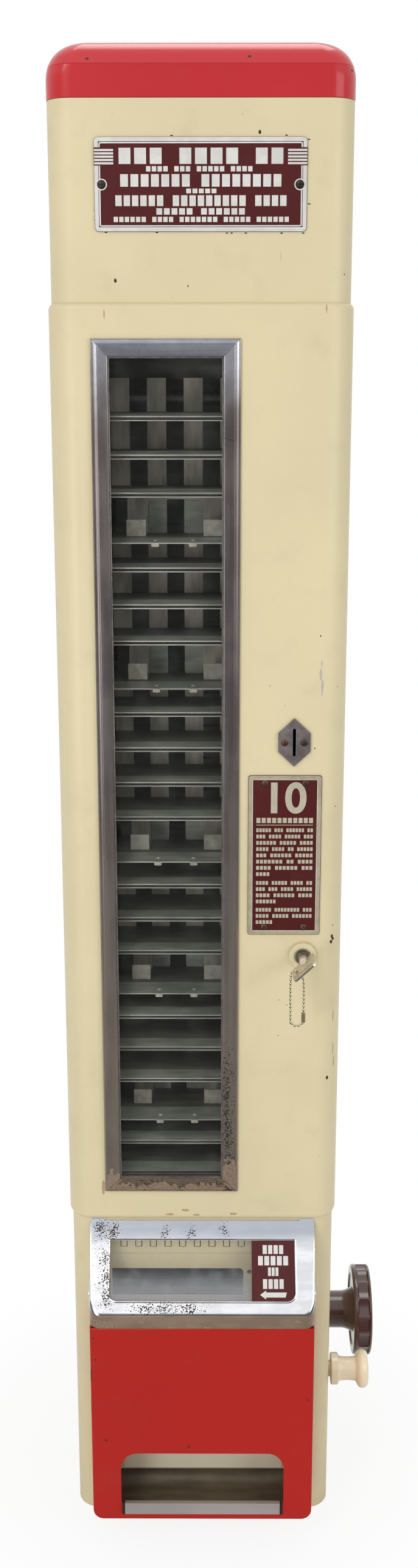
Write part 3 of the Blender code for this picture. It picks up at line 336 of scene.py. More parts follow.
class Finish(Nodes):
    """A material: a Principled shader and the nodes that vary it over the surface."""

    def __init__(self, name, colour, roughness=0.4, metallic=0.0, coat=0.0, gloss=0.5):
        self.material = bpy.data.materials.new(name)
        self.material.use_nodes = True
        super().__init__(self.material.node_tree)
        self.shader = self.tree.nodes["Principled BSDF"]
        settings = {"Base Color": colour, "Roughness": roughness, "Metallic": metallic, "Coat Weight": coat,
                    "Coat Roughness": 0.08, "Specular IOR Level": gloss}
        for key, value in settings.items():
            self.shader.inputs[key].default_value = value
        self.place = self.node("ShaderNodeTexCoord", output="Object")
        self.x, self.y, self.z = (self.node("ShaderNodeSeparateXYZ", sockets={0: self.place}, output=axis)
                                  for axis in range(3))

    def noise(self, scale, detail=3, stretch=(1, 1, 1)):
        """Even noise, with its grain longer along an axis where the stretch is small."""
        place = self.node("ShaderNodeVectorMath", {"operation": "MULTIPLY"}, {0: self.place, 1: stretch})
        return self.node("ShaderNodeTexNoise", None, {"Vector": place, "Scale": scale, "Detail": detail})

    def nearest(self, places):
        """How far a point is from the nearest of some places, each (place, radii), its radii counted as 1."""
        found = None
        for place, radii in places:
            axes = zip((self.x, self.y, self.z), place, radii)
            x, y, z = ((value - middle) / radius for value, middle, radius in axes)
            reach = (x * x + y * y + z * z).root()
            found = found.least(reach) if found else reach
        return found

    def marks(self, places, ragged=0.7, grain=900):
        """1 in ragged round marks, given as (place, radii), and 0 outside them."""
        return 1 - (self.nearest(places) + (self.noise(grain, 2) - 0.5) * ragged).step(0.80, 1.0)

    def paint(self, colour=None, roughness=None, metallic=None, height=None, strength=0.2, distance=0.001):
        """Links what varies to the shader."""
        links = {"Base Color": colour, "Roughness": roughness, "Metallic": metallic}
        if height is not None:
            links["Normal"] = self.node("ShaderNodeBump", None,
                                        {"Height": height, "Strength": strength, "Distance": distance})
        for key, value in links.items():
            if value is not None:
                value.feed(self.shader.inputs[key])
        return self


# Places that the photograph shows at a pixel
def camera_axes():
    flat = math.cos(camera_pitch)
    forward = Vector((math.sin(camera_yaw) * flat, math.cos(camera_yaw) * flat, -math.sin(camera_pitch)))
    right = Vector((math.cos(camera_yaw), -math.sin(camera_yaw), 0))
    up = right.cross(forward)
    turned_right = right * math.cos(camera_roll) + up * math.sin(camera_roll)
    turned_up = up * math.cos(camera_roll) - right * math.sin(camera_roll)
    return turned_right, turned_up, -forward


def seen(column, row, point, normal=(0, -1, 0)):
    """The place on a plane that the photograph shows at a pixel."""
    right, up, back = camera_axes()
    ray = right * (column - image_width / 2) - up * (row - image_height / 2) - back * focal_pixels
    normal = Vector(normal)
    return camera_place + ray * ((Vector(point) - camera_place).dot(normal) / ray.dot(normal))


def scars(point, *rows, normal=(0, -1, 0)):
    """Marks on a plane, each (place, radii). A row gives the radii, then the pixels that show such marks."""
    return [(seen(*pixel, point, normal), radii) for radii, *pixels in rows for pixel in pixels]


class Space:
    """The box that a CAD node fills at rest."""

    def __init__(self, node):
        low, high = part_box(node)
        self.left, self.front, self.low = low
        self.right, self.back, self.high = high
        self.x, self.y, self.z = (low + high) / 2
        self.width, self.depth, self.height = high - low

    def within(self, edge=0):
        """Left, right, low and high of its front outline, an edge further in."""
        return self.left + edge, self.right - edge, self.low + edge, self.high - edge


# Shapes
shapes = bpy.data.collections.new("vending_machine_shapes")
bpy.context.scene.collection.children.link(shapes)
AXIS_TURNS = {
    "X": Matrix(((0, 0, 1, 0), (1, 0, 0, 0), (0, 1, 0, 0), (0, 0, 0, 1))),
    "Y": Matrix(((1, 0, 0, 0), (0, 0, -1, 0), (0, 1, 0, 0), (0, 0, 0, 1))),
    "Z": Matrix.Identity(4),
}
side_signs = (-1, 1)


def join_close(bm):
    bmesh.ops.remove_doubles(bm, verts=bm.verts, dist=tiny / 10)


def keep(bm, finish=None, name="shape"):
    """Turns a bmesh into an object with one finish."""
    bmesh.ops.recalc_face_normals(bm, faces=bm.faces)
    mesh = bpy.data.meshes.new(name)
    bm.to_mesh(mesh)
    bm.free()
    piece = bpy.data.objects.new(name, mesh)
    shapes.objects.link(piece)
    if finish:
        mesh.materials.append(finish.material)
    return piece


def add_finishes(piece, *finishes):
    for finish in finishes:
        piece.data.materials.append(finish.material)


def drop(*pieces):
    for piece in pieces:
        bpy.data.objects.remove(piece, do_unlink=True)


def evaluated_mesh(piece):
    bpy.context.view_layer.update()
    graph = bpy.context.evaluated_depsgraph_get()
    return bpy.data.meshes.new_from_object(piece.evaluated_get(graph))


def bake(piece):
    mesh = evaluated_mesh(piece)
    piece.modifiers.clear()
    piece.data = mesh
    return piece


def cut(piece, *others):
    for other in others:
        step = piece.modifiers.new("cut", "BOOLEAN")
        step.operation = "DIFFERENCE"
        step.solver = "EXACT"
        step.object = other
    bake(piece)
    drop(*others)
    return piece


def through(axis, outline, start, end):
    """A shape to cut with, which runs out on both sides of a sheet."""
    return slab(axis, [outline], start - overrun, end + overrun)


def moved(piece, matrix):
    piece.data.transform(matrix)
    return piece


def soften(piece, width, segments=3, angle=40):
    """Rounds every edge of a shape that is sharper than an angle."""
    step = piece.modifiers.new("edge", "BEVEL")
    step.width = width
    step.segments = segments
    step.limit_method = "ANGLE"
    step.angle_limit = math.radians(angle)
    return bake(piece)


def bevel_edges(piece, chosen, width, segments):
    """Rounds the edges whose two ends pass a test."""
    bm = bmesh.new()
    bm.from_mesh(piece.data)
    edges = [edge for edge in bm.edges if all(chosen(vert.co) for vert in edge.verts)]
    bmesh.ops.bevel(bm, geom=edges, offset=width, segments=segments, profile=0.5, affect="EDGES",
                    clamp_overlap=True)
    bmesh.ops.recalc_face_normals(bm, faces=bm.faces)
    bm.to_mesh(piece.data)
    bm.free()
    return piece


def arc(centre, radius, start, end, steps=round_steps, height=None):
    """Points of an arc in degrees, both ends included, or of an ellipse's where a height is given."""
    points = []
    for step in range(steps + 1):
        angle = math.radians(start + (end - start) * step / steps)
        points.append((centre[0] + radius * math.cos(angle),
                       centre[1] + (height or radius) * math.sin(angle)))
    return points


def circle(centre, radius, sides=turn_steps):
    return arc(centre, radius, 0, 360, sides)[:-1]


def rectangle(left, right, low, high):
    return [(left, low), (right, low), (right, high), (left, high)]


def bend(x, z, quadrant, radius, steps=round_steps, height=None):
    """A round corner in place of a sharp one. Quadrant 0 is the upper right, and they go on to the left."""
    side, rise = ((1, 1), (-1, 1), (-1, -1), (1, -1))[quadrant]
    centre = (x - side * radius, z - rise * (height or radius))
    return arc(centre, radius, quadrant * 90, quadrant * 90 + 90, steps, height)


def rounded(left, right, low, high, radius, steps=round_steps):
    """A rectangle with round corners, counterclockwise."""
    places = ((right, high), (left, high), (left, low), (right, low))
    return [point for quadrant, place in enumerate(places) for point in bend(*place, quadrant, radius, steps)]


def pan_outline(half, low, high, radius):
    """A level symmetric outline, square at its high side and round at its two low corners."""
    return [(half, high), (-half, high)] + bend(-half, low, 2, radius) + bend(half, low, 3, radius)


def drawn(curve, *lines):
    """The mesh of a curve, to which closed lines of points are added."""
    for points in lines:
        spline = curve.splines.new("POLY")
        spline.points.add(len(points) - 1)
        for point, place in zip(spline.points, points):
            point.co = (*place, 1)
        spline.use_cyclic_u = True
    piece = bpy.data.objects.new("drawn", curve)
    shapes.objects.link(piece)
    bm = bmesh.new()
    bm.from_mesh(evaluated_mesh(piece))
    drop(piece)
    join_close(bm)
    return bm


def slab(axis, outlines, start, end, finish=None, edge=0, segments=2):
    """A flat piece square to an axis, its first outline its edge and any others its holes."""
    curve = bpy.data.curves.new("slab", "CURVE")
    curve.dimensions = "2D"
    curve.fill_mode = "BOTH"
    curve.extrude = (end - start) / 2
    bm = drawn(curve, *([(u, v, 0) for u, v in outline] for outline in outlines))
    bmesh.ops.dissolve_limit(bm, angle_limit=math.radians(0.5), verts=bm.verts, edges=bm.edges)
    turn = AXIS_TURNS[axis]
    bmesh.ops.transform(bm, matrix=turn, verts=bm.verts)
    along = turn @ Vector((0, 0, 1))
    middle = (start + end) / 2 * (along.x + along.y + along.z)
    bmesh.ops.translate(bm, vec=along * middle, verts=bm.verts)
    piece = keep(bm, finish)
    return soften(piece, edge, segments) if edge else piece


def loft(rings, finish=None, closed=False):
    """A skin over rings with the same number of points, capped at both ends unless it closes on itself."""
    bm = bmesh.new()
    rows = [[bm.verts.new(place) for place in ring] for ring in rings]
    pairs = list(zip(rows, rows[1:]))
    if closed:
        pairs.append((rows[-1], rows[0]))
    else:
        bm.faces.new(rows[0])
        bm.faces.new(rows[-1])
    for near, far in pairs:
        for index in range(len(near)):
            following = (index + 1) % len(near)
            bm.faces.new((near[index], near[following], far[following], far[index]))
    join_close(bm)
    return keep(bm, finish)


def revolve(axis, centre, profile, finish=None, steps=turn_steps, shape=None):
    """A turned piece about an axis. The profile is (place along the axis, radius) from end to end.

    The shape function may change the radius with the angle and the place along the axis.
    """
    rings = []
    for along, radius in profile:
        ring = []
        for step in range(steps):
            angle = 2 * math.pi * step / steps
            reach = shape(angle, along, radius) if shape else radius
            u = centre[0] + reach * math.cos(angle)
            v = centre[1] + reach * math.sin(angle)
            ring.append({"X": (along, u, v), "Y": (u, along, v), "Z": (u, v, along)}[axis])
        rings.append(ring)
    return loft(rings, finish)


def tube(points, radius, finish, sides):
    """A closed wire along points."""
    curve = bpy.data.curves.new("tube", "CURVE")
    curve.dimensions = "3D"
    curve.bevel_depth = radius
    curve.bevel_resolution = sides
    return keep(drawn(curve, points), finish)


def ball(centre, radius, finish, rings):
    bm = bmesh.new()
    bmesh.ops.create_uvsphere(bm, u_segments=2 * rings, v_segments=rings, radius=radius)
    bmesh.ops.translate(bm, vec=centre, verts=bm.verts)
    return keep(bm, finish)


def crown(axis, centre, face, radius, head, finish, out=-1, slot=False):
    """A rivet or screw head that stands out of a face along an axis; out is its direction along it."""
    profile = [(face, radius)]
    for across, rise in arc((0, 0), 1, 0, 90, 6):
        profile.append((face + out * head * (0.3 + 0.7 * rise), radius * across))
    piece = revolve(axis, centre, profile, finish, 24)
    if slot:
        half = radius * 0.16
        x, z = centre
        cut(piece, slab("Y", [rectangle(x - 2 * radius, x + 2 * radius, z - half, z + half)],
                        face - head - overrun, face - head * 0.5))
    return piece


def merge(parts, name):
    """One object of several shapes, with all their finishes."""
    finishes = []
    bm = bmesh.new()
    for part in parts:
        indexes = []
        for material in part.data.materials:
            if material not in finishes:
                finishes.append(material)
            indexes.append(finishes.index(material))
        first = len(bm.faces)
        bm.from_mesh(part.data)
        bm.faces.ensure_lookup_table()
        for face in bm.faces[first:]:
            face.material_index = indexes[face.material_index] if indexes else 0
    drop(*parts)
    mesh = bpy.data.meshes.new(name)
    bm.to_mesh(mesh)
    bm.free()
    for material in finishes:
        mesh.materials.append(material)
    piece = bpy.data.objects.new(name, mesh)
    bpy.context.scene.collection.objects.link(piece)
    return piece


def fit(name, parts, body, slot, *nodes):
    """Finishes a piece: one named object, shaded smooth, that rides on a body and stands for CAD nodes."""
    piece = merge(parts, name)
    piece.data.shade_smooth()
    piece.data.set_sharp_from_angle(angle=sharp_angle)
    even = piece.modifiers.new("even shading", "WEIGHTED_NORMAL")
    even.keep_sharp = True
    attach(piece, body)
    if nodes:
        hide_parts(*nodes)
    return piece


# Spaces of the CAD nodes that the finer pieces keep to
cabinet = Space("cabinet_shell")
cap = Space("top_cap")
panel = Space("back_panel")
door = Space("door_shell")
window = Space("window_frame")
coin_plate = Space("coin_slot_plate")
notice = Space("instruction_plate")
title = Space("nameplate")
boss = Space("lock_body")
plug = Space("lock_plug")
hood = Space("selection_hood")
chute = Space("chute_housing")
scoop = Space("delivery_tray")
wheel = Space("hand_wheel")
knob = Space("pull_knob")
pivot = Space("pivot_pin")
pin = Space("hinge_pin")
wheel_centre = (wheel.y, wheel.z)
lock_centre = (boss.x, boss.z)
plug_bore = boss.width / 2 - 0.0018


# Finishes. Colours are given as they look on a screen
def enamel(name, colour, roughness, coat, worn=None, pale=None, rusty=None, dirt=0.10, peel=0.10, cloudy=0.03,
           gloss=0.5):
    """Stove enamel gone old: a little cloudy and dirty, with orange peel, chips, scrapes and rust stains."""
    colour = tone(*colour)
    finish = Finish(name, colour, roughness, coat=coat, gloss=gloss)
    cloud = finish.noise(7, 3)
    grime = finish.noise(38, 6).step(0.52, 0.85) * dirt
    specks = finish.noise(420, 2).step(0.74, 0.80) * 0.30
    shade = finish.mix(cloud.step(0.35, 0.65), shaded(colour, 1 - cloudy), shaded(colour, 1 + cloudy))
    shade = finish.mix(grime.most(specks), shade, tone(112, 92, 66))
    height = finish.noise(260, 2) * peel
    dull = roughness + cloud * 0.10 + grime * 0.3
    if rusty:
        stains = finish.marks(rusty, ragged=1.5, grain=220)
        shade = finish.mix(stains * 0.60, shade, tone(158, 112, 62))
        dull = dull + stains * 0.3
    if pale:
        scrapes = finish.marks(pale, ragged=0.3)
        shade = finish.mix(scrapes, shade, tone(190, 180, 172))
        height = height - scrapes
    if worn:
        chips = finish.marks(worn)
        shade = finish.mix(chips, shade, tone(66, 46, 30))
        height = height - chips
        dull = dull + chips * 0.3
    return finish.paint(colour=shade, roughness=dull, height=height, strength=0.35, distance=0.0004)


def metal(name, colour, roughness, grain=(1, 1, 1), streak=0.12, pits=0.0, metallic=1.0, rust=None,
          pitted=None, low=None, high=None, contrast=0.62):
    """Plated or bare metal, with streaks along its grain, small pits, and rusty or pitted places.

    It may run over to a second colour low down, and to another high up, each given as (colour, heights); on the
    chrome the near-white ones are painted reflections.
    """
    colour = tone(*colour)
    finish = Finish(name, colour, roughness, metallic=metallic)
    lines = finish.noise(160, 4, grain)
    cloud = finish.noise(22, 4)

    def above(heights):
        """Rises from 0 to 1 between two heights, with a cloudy edge."""
        return (finish.z + (cloud - 0.5) * (heights[1] - heights[0]) * 0.8).step(*heights)

    light = colour
    dark = shaded(colour, contrast)
    if low:
        share = above(low[1])
        light = finish.mix(share, tone(*low[0]), light)
        dark = finish.mix(share, shaded(tone(*low[0]), 0.8), dark)
    shade = finish.mix((lines * 0.5 + cloud * 0.5).step(0.38, 0.62), dark, light)
    # The colour high up is a painted reflection along the top of the trim
    if high:
        shade = finish.mix(above(high[1]) * 0.8, shade, tone(*high[0]))
    dull = roughness + (lines - 0.5) * streak + (cloud - 0.5) * streak
    height = lines * 0.1
    if pits:
        spots = finish.noise(900, 2).step(0.66, 0.74) * finish.noise(26, 3).step(0.45, 0.62) * pits
        shade = finish.mix(spots, shade, tone(48, 40, 34))
        dull = dull + spots * 0.3
        height = height - spots
    if pitted:
        spots = (finish.noise(820, 3) - finish.nearest(pitted) * 0.10).step(0.457, 0.492)
        shade = finish.mix(spots, shade, tone(74, 64, 56))
        dull = dull + spots * 0.4
    if rust:
        bare = finish.marks(rust, ragged=1.6, grain=260)
        rusty = finish.mix(finish.noise(1400, 3).step(0.54, 0.60), tone(138, 118, 98), tone(84, 56, 42))
        shade = finish.mix(bare * 0.8, shade, rusty)
        dull = dull + bare * 0.4
        finish.paint(metallic=metallic * (1 - bare))
    return finish.paint(colour=shade, roughness=dull, height=height, strength=0.2, distance=0.0003)


body_face = (0, cabinet.front, 0)
door_face = (0, door.front, 0)
chute_face = (0, chute.front, 0)
window_face = (0, window.front, 0)
hood_slope_point = (0, hood.front, hood_edge)
hood_slope_normal = (0, hood_edge - hood_top, hood.depth)

cream_chips = scars(
    body_face, ((0.0011, 0.01, 0.0016), (189.5, 461), (427, 217)),
    ((0.0011, 0.01, 0.0005), (282, 222.5), (471, 222), (157, 345), (157, 361), (508, 229), (508, 335),
     (174, 382), (258, 382), (373, 383), (381, 383), (404, 383), (463, 383), (498, 383)),
    ((0.0005, 0.01, 0.0007), (309, 470), (567, 450), (168, 330)))
cream_scrapes = scars(body_face, ((0.0003, 0.01, 0.0045), (462, 421)))
door_chips = scars(
    door_face, ((0.0013, 0.01, 0.0020), (546, 1541), (547.6, 1545.6), (544.6, 1550), (537.8, 1773)),
    ((0.0005, 0.01, 0.0008), (527, 1045), (547.2, 1523), (517.4, 1229.5), (551.8, 1327)),
    ((0.0004, 0.01, 0.0005), (457.8, 1643), (457, 1701), (555.7, 1130), (444, 1127), (471, 1651)),
    ((0.00025, 0.02, 0.0065), (548, 1673), (548, 1728), (549, 1750)))
door_scrapes = scars(door_face, ((0.0011, 0.01, 0.0055), (527.5, 1108), (530, 1127)),
                     ((0.0006, 0.01, 0.0030), (529, 1090), (529, 1139)))
door_stains = scars(
    door_face, ((0.0034, 0.01, 0.0013), (278, 1995), (304, 1988), (323, 1996), (383, 1994)),
    ((0.0014, 0.01, 0.0040), (170, 1946), (170, 1955)), ((0.0006, 0.01, 0.0036), (537, 506), (171, 517)))
cap_chips = scars((0, cap.front, 0), ((0.0014, 0.02, 0.0010), (143, 96), (410, 92), (581, 112)))
chute_chips = scars(
    chute_face, ((0.0016, 0.01, 0.0010), (174, 2366), (310, 2377)),
    ((0.0007, 0.01, 0.0012), (153, 2199), (157, 2234), (505, 2300)),
    ((0.0006, 0.01, 0.0080), (150, 2260), (150, 2310)))
frame_rust = scars(window_face, ((0.021, 0.01, 0.0080), (190, 1957), (262, 1957), (330, 1957)),
                   ((0.0075, 0.01, 0.0150), (380, 1930), (184, 1948)))
frame_specks = scars(window_face, ((0.0040, 0.01, 0.0300), (372, 1800), (374, 1860), (376, 1920)))
foot_specks = scars(window_face, ((0.0120, 0.01, 0.0060), (200, 1953), (245, 1950), (293, 1958), (340, 1952),
                                  (375, 1955)))
hood_pits = scars(
    hood_slope_point, ((0.0030, 0.005, 0.0042), (272, 2025), (314, 2025), (368, 2020)),
    ((0.0048, 0.009, 0.0075), (165, 2018), (185, 2024), (174, 2070), (174, 2100), (176, 2130)),
    ((0.0100, 0.005, 0.0040), (238, 2150), (270, 2150), (310, 2149)), normal=hood_slope_normal)
lip_dirt = scars(
    hood_slope_point, ((0.0075, 0.012, 0.0045), (160, 2177), (176, 2181)),
    ((0.0030, 0.01, 0.0016), (232, 2172), (312, 2178), (490, 2172), (280, 2182), (340, 2182)))

upright = (1, 1, 0.05)
level = (0.05, 1, 1)
faintly_level = (0.2, 1, 1)
polished_level = (0.3, 1, 1)
cream_tone = (222, 209, 170)
cream = enamel("cream enamel", cream_tone, 0.36, 0.08, cream_chips, cream_scrapes, gloss=0.35)
door_cream = enamel("door enamel", cream_tone, 0.36, 0.08, door_chips, door_scrapes, door_stains, gloss=0.35)
# A lighter cream for the body front behind the chute's mouth: painted light where the chute's shadow falls
lit_cream = enamel("clean cream enamel", (250, 241, 212), 0.40, 0.05, gloss=0.35)
cap_red = enamel("gloss red enamel", (197, 46, 52), 0.26, 0.40, cap_chips, dirt=0.06, peel=0.06, gloss=0.3)
chute_red = enamel("satin red enamel", (183, 26, 14), 0.42, 0.08, chute_chips, dirt=0.08, gloss=0.3)
maroon = enamel("maroon enamel", (82, 17, 19), 0.44, 0.05, dirt=0.10, cloudy=0.08, gloss=0.3)
silver = metal("bare nickel lines", (226, 224, 219), 0.42, metallic=0.15, contrast=0.90)
beige_silver = metal("aged nickel lines", (198, 190, 168), 0.44, metallic=0.15, contrast=0.88)
grey_silver = metal("aged nickel border", (196, 187, 158), 0.42, metallic=0.30, contrast=0.82)
nickel = metal("dull nickel", (146, 138, 136), 0.38, pits=0.5, metallic=0.5)
brown_metal = metal("browned rivets", (112, 86, 72), 0.42, metallic=0.8)
# The trim runs to a warmer tone low down, and to near white along its top: a painted reflection
frame_chrome = metal("dull chrome trim", (132, 124, 123), 0.28, upright, 0.16, 0.4, 0.65, frame_rust,
                     frame_specks, ((158, 146, 134), (0.42, 0.72)), ((240, 241, 250), (0.950, 1.035)), 0.70)
# The level strips: lengthwise grain, rust-brown low down, and lighter and bluer above as a painted reflection
frame_chrome_level_reflection = metal("dull chrome trim lengthwise", (172, 174, 186), 0.28, level, 0.16, 0.4, 0.65,
                           frame_rust, foot_specks, ((152, 134, 111), (0.72, 0.86)), contrast=0.66)
# The hood runs to near white low on its slope: a painted reflection
hood_chrome = metal("bright chrome", (184, 188, 198), 0.16, polished_level, 0.06, pitted=hood_pits,
                    low=((248, 249, 253), (0.266, 0.282)), contrast=0.94)
# The hood's front lip: tarnish and stains, with painted shade, darker than the slope as it faces level
lip_chrome_tarnish_and_shade = metal("tarnished chrome", (178, 153, 130), 0.34, polished_level, 0.10, 0.5, 0.5, lip_dirt,
                   contrast=0.80)
tray_metal = metal("dull galvanised sheet", (170, 174, 162), 0.44, faintly_level, 0.12, 0.3, 0.4)
# Darker sheet for tray floors, undersides and the trays inside: grime, and painted shade
grime_and_shade_metal = metal("grimy sheet", (114, 112, 104), 0.55, faintly_level, 0.12, 0.3, 0.3)
finger_metal = metal("stained galvanised sheet", (182, 176, 160), 0.46, (1, 1, 0.2), 0.15, 0.3, 0.3)
scoop_metal = metal("galvanised scoop", (112, 100, 82), 0.50, faintly_level, 0.12, 0.4, 0.5)
# Lighter sheet for the deep trays' feet and the clips' domes: painted light, as they face up
lit_foot_metal = metal("galvanised foot", (176, 173, 158), 0.44, metallic=0.2)
lip_metal = metal("brushed lip", (206, 196, 191), 0.34, level, 0.08, metallic=0.7, contrast=0.88)
steel = metal("plated steel", (184, 182, 178), 0.30, pits=0.2)
key_metal = metal("nickel key", (214, 206, 188), 0.24, (1, 0.2, 1), 0.10, 0.2, 0.8, contrast=0.84)
bead_metal = metal("nickel beads", (218, 208, 184), 0.18, contrast=0.90)
cylinder_metal = metal("worn lock cylinder", (150, 144, 136), 0.34, pits=0.6, metallic=0.7)
# Lighter sheet for the trays' front edges and folds: a painted highlight where they face the front
edge_highlight_metal = metal("worn sheet edges", (206, 204, 196), 0.36, level, metallic=0.5)
brass = metal("machined brass", (196, 160, 92), 0.30)
dull_brass = metal("darkened connector", (166, 148, 122), 0.36, metallic=0.6)
dark_metal = metal("blackened steel", (66, 62, 60), 0.45, metallic=0.6)
black_edge = metal("black lining", (30, 26, 26), 0.50, metallic=0.2)


def moulded(name, colour, roughness, coat, streaks):
    """Moulded plastic with faint flow lines and fine scratches."""
    colour = tone(*colour)
    finish = Finish(name, colour, roughness, coat=coat)
    flow = finish.noise(34, 4, (1, 0.4, 0.4))
    shade = finish.mix(flow.step(0.35, 0.70), colour, shaded(colour, streaks))
    scratches = finish.noise(700, 2, level).step(0.62, 0.70)
    return finish.paint(colour=shade, roughness=roughness + scratches * 0.15 + flow * 0.05,
                        height=finish.noise(300, 2) * 0.08 - scratches * 0.1, strength=0.3, distance=0.0003)


bakelite = moulded("dark brown bakelite", (74, 46, 40), 0.22, 0.6, 1.5)
cream_plastic = moulded("aged cream plastic", (250, 235, 203), 0.28, 0.4, 0.92)


def glazing():
    """Clear pane with a little dust."""
    finish = Finish("window pane", tone(190, 198, 194), 0.05)
    dust = finish.noise(60, 5).step(0.45, 0.85)
    (0.010 + dust * 0.02).feed(finish.shader.inputs["Alpha"])
    return finish.paint(roughness=0.05 + dust * 0.2)


def dusty_glazing():
    """The hood's pane, under a film of dust that is thicker low down."""
    finish = Finish("dusty pane", tone(204, 208, 212), 0.25)
    film = 0.04 + (1 - finish.z.step(0.232, 0.258)) * 0.24 + finish.noise(90, 5).step(0.45, 0.75) * 0.05
    film.feed(finish.shader.inputs["Alpha"])
    return finish


pane = glazing()
dusty_pane = dusty_glazing()


# Cabinet
def plan(inset):
    """The cabinet's plan, drawn in by an inset."""
    radius = max(cabinet_radius - inset, tiny)
    return rounded(cabinet.left + inset, cabinet.right - inset, cabinet.front + inset, cabinet.back - inset,
                   radius)


def handle_slot():
    """The curved slot that the pull handle's neck runs in."""
    centre = (pivot.y, pivot.z)
    arm = math.hypot(knob.y - pivot.y, knob.z - pivot.z)
    rest = math.degrees(math.atan2(knob.z - pivot.z, knob.y - pivot.y))
    pull = next(joint for joint in frame["joints"] if joint["name"] == "handle_pull")
    pulled = rest + max(pull["range_deg"])
    near, far = arc(centre, arm, rest, pulled, 1)
    return (arc(centre, arm + handle_slot_half, rest, pulled)
            + arc(far, handle_slot_half, pulled, pulled + 180)[1:-1]
            + arc(centre, arm - handle_slot_half, pulled, rest)
            + arc(near, handle_slot_half, rest + 180, rest + 360)[1:-1])


def scored_notch(x):
    """The thin U that a notch is scored with."""
    outer = notch_width / 2
    inner = outer - notch_line
    low = notch_low + notch_line
    return [(x + outer, notch_high), (x + outer, notch_low), (x - outer, notch_low), (x - outer, notch_high),
            (x - inner, notch_high), (x - inner, low), (x + inner, low), (x + inner, notch_high)]


def build_cabinet():
    shell = slab("Z", [plan(0), plan(sheet)], cabinet.low, cabinet.high, cream)
    front = (cabinet.front, cabinet.front + sheet)
    side = (cabinet.right - sheet, cabinet.right)
    half = cabinet.right - cabinet_radius
    bore = circle(pin_hole, pin_hole_radius)
    holes = [("Y", rectangle(-half, half, door.low + door_hole_border, door.high - door_hole_border), front),
             ("Y", [(slot_left, slot_high), (slot_left, slot_low), (slot_right, slot_low)]
              + bend(slot_right, slot_high, 0, slot_corner), front)]
    holes += [("Y", scored_notch(first_notch_x + index * notch_pitch), front) for index in range(notch_count)]
    # The fold line goes halfway into the sheet
    fold = rectangle(hood.left, hood.right, fold_z, fold_z + fold_width)
    holes += [("Y", bore, front), ("Y", fold, (cabinet.front, cabinet.front + sheet / 2 - overrun)),
              ("X", circle(wheel_centre, wheel_hole_radius), side), ("X", handle_slot(), side),
              ("Y", rectangle(*panel.within(back_hole_border)), (cabinet.back - sheet, cabinet.back))]
    cut(shell, *[through(axis, outline, *span) for axis, outline, span in holes])
    rim = slab("Y", [circle(pin_hole, pin_hole_radius * 1.5), bore], cabinet.front - gap, cabinet.front + gap,
               steel)
    # The body front behind the chute's mouth gets a lighter cream: painted light in the chute's shadow
    painted_light_patch = slab("Y", [rectangle(-mouth_half, mouth_half, mouth_low, mouth_high)], cabinet.front - gap / 2,
                 cabinet.front + gap, lit_cream)
    fit("body_shell", [shell, rim, painted_light_patch], "cabinet", "cream_paint", "cabinet_shell", "delivery_panel",
        "back_frame")


def build_cap():
    """The pressed cap, whose top runs down over a wide round edge."""
    rim = 0.0004
    rings = [(cap.low + 2 * cap_sheet, cap_sheet), (cap.low, cap_sheet), (cap.low, rim), (cap.low + rim, 0),
             (cap.high - cap_side, 0), (cap.high - cap_side * 0.85, 0), (cap_bead_z - cap_bead, 0),
             (cap_bead_z, -cap_bead), (cap_bead_z + cap_bead, -cap_bead / 2)]
    rings += arc((cap.high - cap_edge, cap_edge), cap_edge, -90, 0)[2:]
    skin = []
    for z, inset in rings:
        share = max((z - cap.high + cap_side) / cap_side, 0)
        side = max(cap_side * (1 - math.sqrt(1 - share * share)), inset)
        outline = rounded(cap.left + side, cap.right - side, cap.front + inset, cap.back - inset,
                          cabinet_radius - inset / 2)
        skin.append([(x, y, z) for x, y in outline])
    fit("cap", [loft(skin, cap_red)], "cabinet", "cap_paint", "top_cap")


def build_back():
    """The back panel with a row of screws down each side."""
    corner = 0.004
    parts = [slab("Y", [rounded(*panel.within(), corner)], panel.front, panel.back, cream, 0.0004)]
    inset = back_hole_border / 2
    last_row = 5
    for x in (panel.left + inset, panel.right - inset):
        for row in range(last_row + 1):
            z = panel.low + inset + (panel.height - 2 * inset) * row / last_row
            parts.append(crown("Y", (x, z), panel.back, rivet_radius, rivet_head, steel, 1))
    fit("rear_panel", parts, "cabinet", "cream_paint", "back_panel")


# Door
def door_pan(inset, finish=None):
    """The door as a solid pan with rolled upper and lower edges."""
    back = door.back + (overrun if inset else 0)
    low = door_foot + inset
    high = door_head - inset
    roll = max(door_roll - inset, tiny)
    levels = arc((roll, roll), roll, 270, 180)
    rings = []
    places = [(low + rise, tuck) for rise, tuck in reversed(levels)]
    places += [(high - rise, tuck) for rise, tuck in levels]
    for z, tuck in places:
        outline = pan_outline(door.width / 2 - inset - tuck, door.front + inset + tuck, back,
                              max(door_radius - inset - tuck, tiny))
        rings.append([(x, y, z) for x, y in outline])
    return loft(rings, finish)


def build_door():
    shell = door_pan(0, door_cream)
    cut(shell, door_pan(sheet), through("Z", plan(-gap), door.low, door.high))
    half = coin_slot_height / 2 + gap
    holes = [rectangle(*window.within(window_band - window_return - gap)),
             rectangle(coin_plate.x - coin_slot_width, coin_plate.x + coin_slot_width, coin_plate.z - half,
                       coin_plate.z + half),
             circle(lock_centre, plug_bore)]
    cut(shell, *[through("Y", outline, door.front, door.front + sheet) for outline in holes])
    fit("door_pan", [shell], "door", "cream_paint", "door_shell")


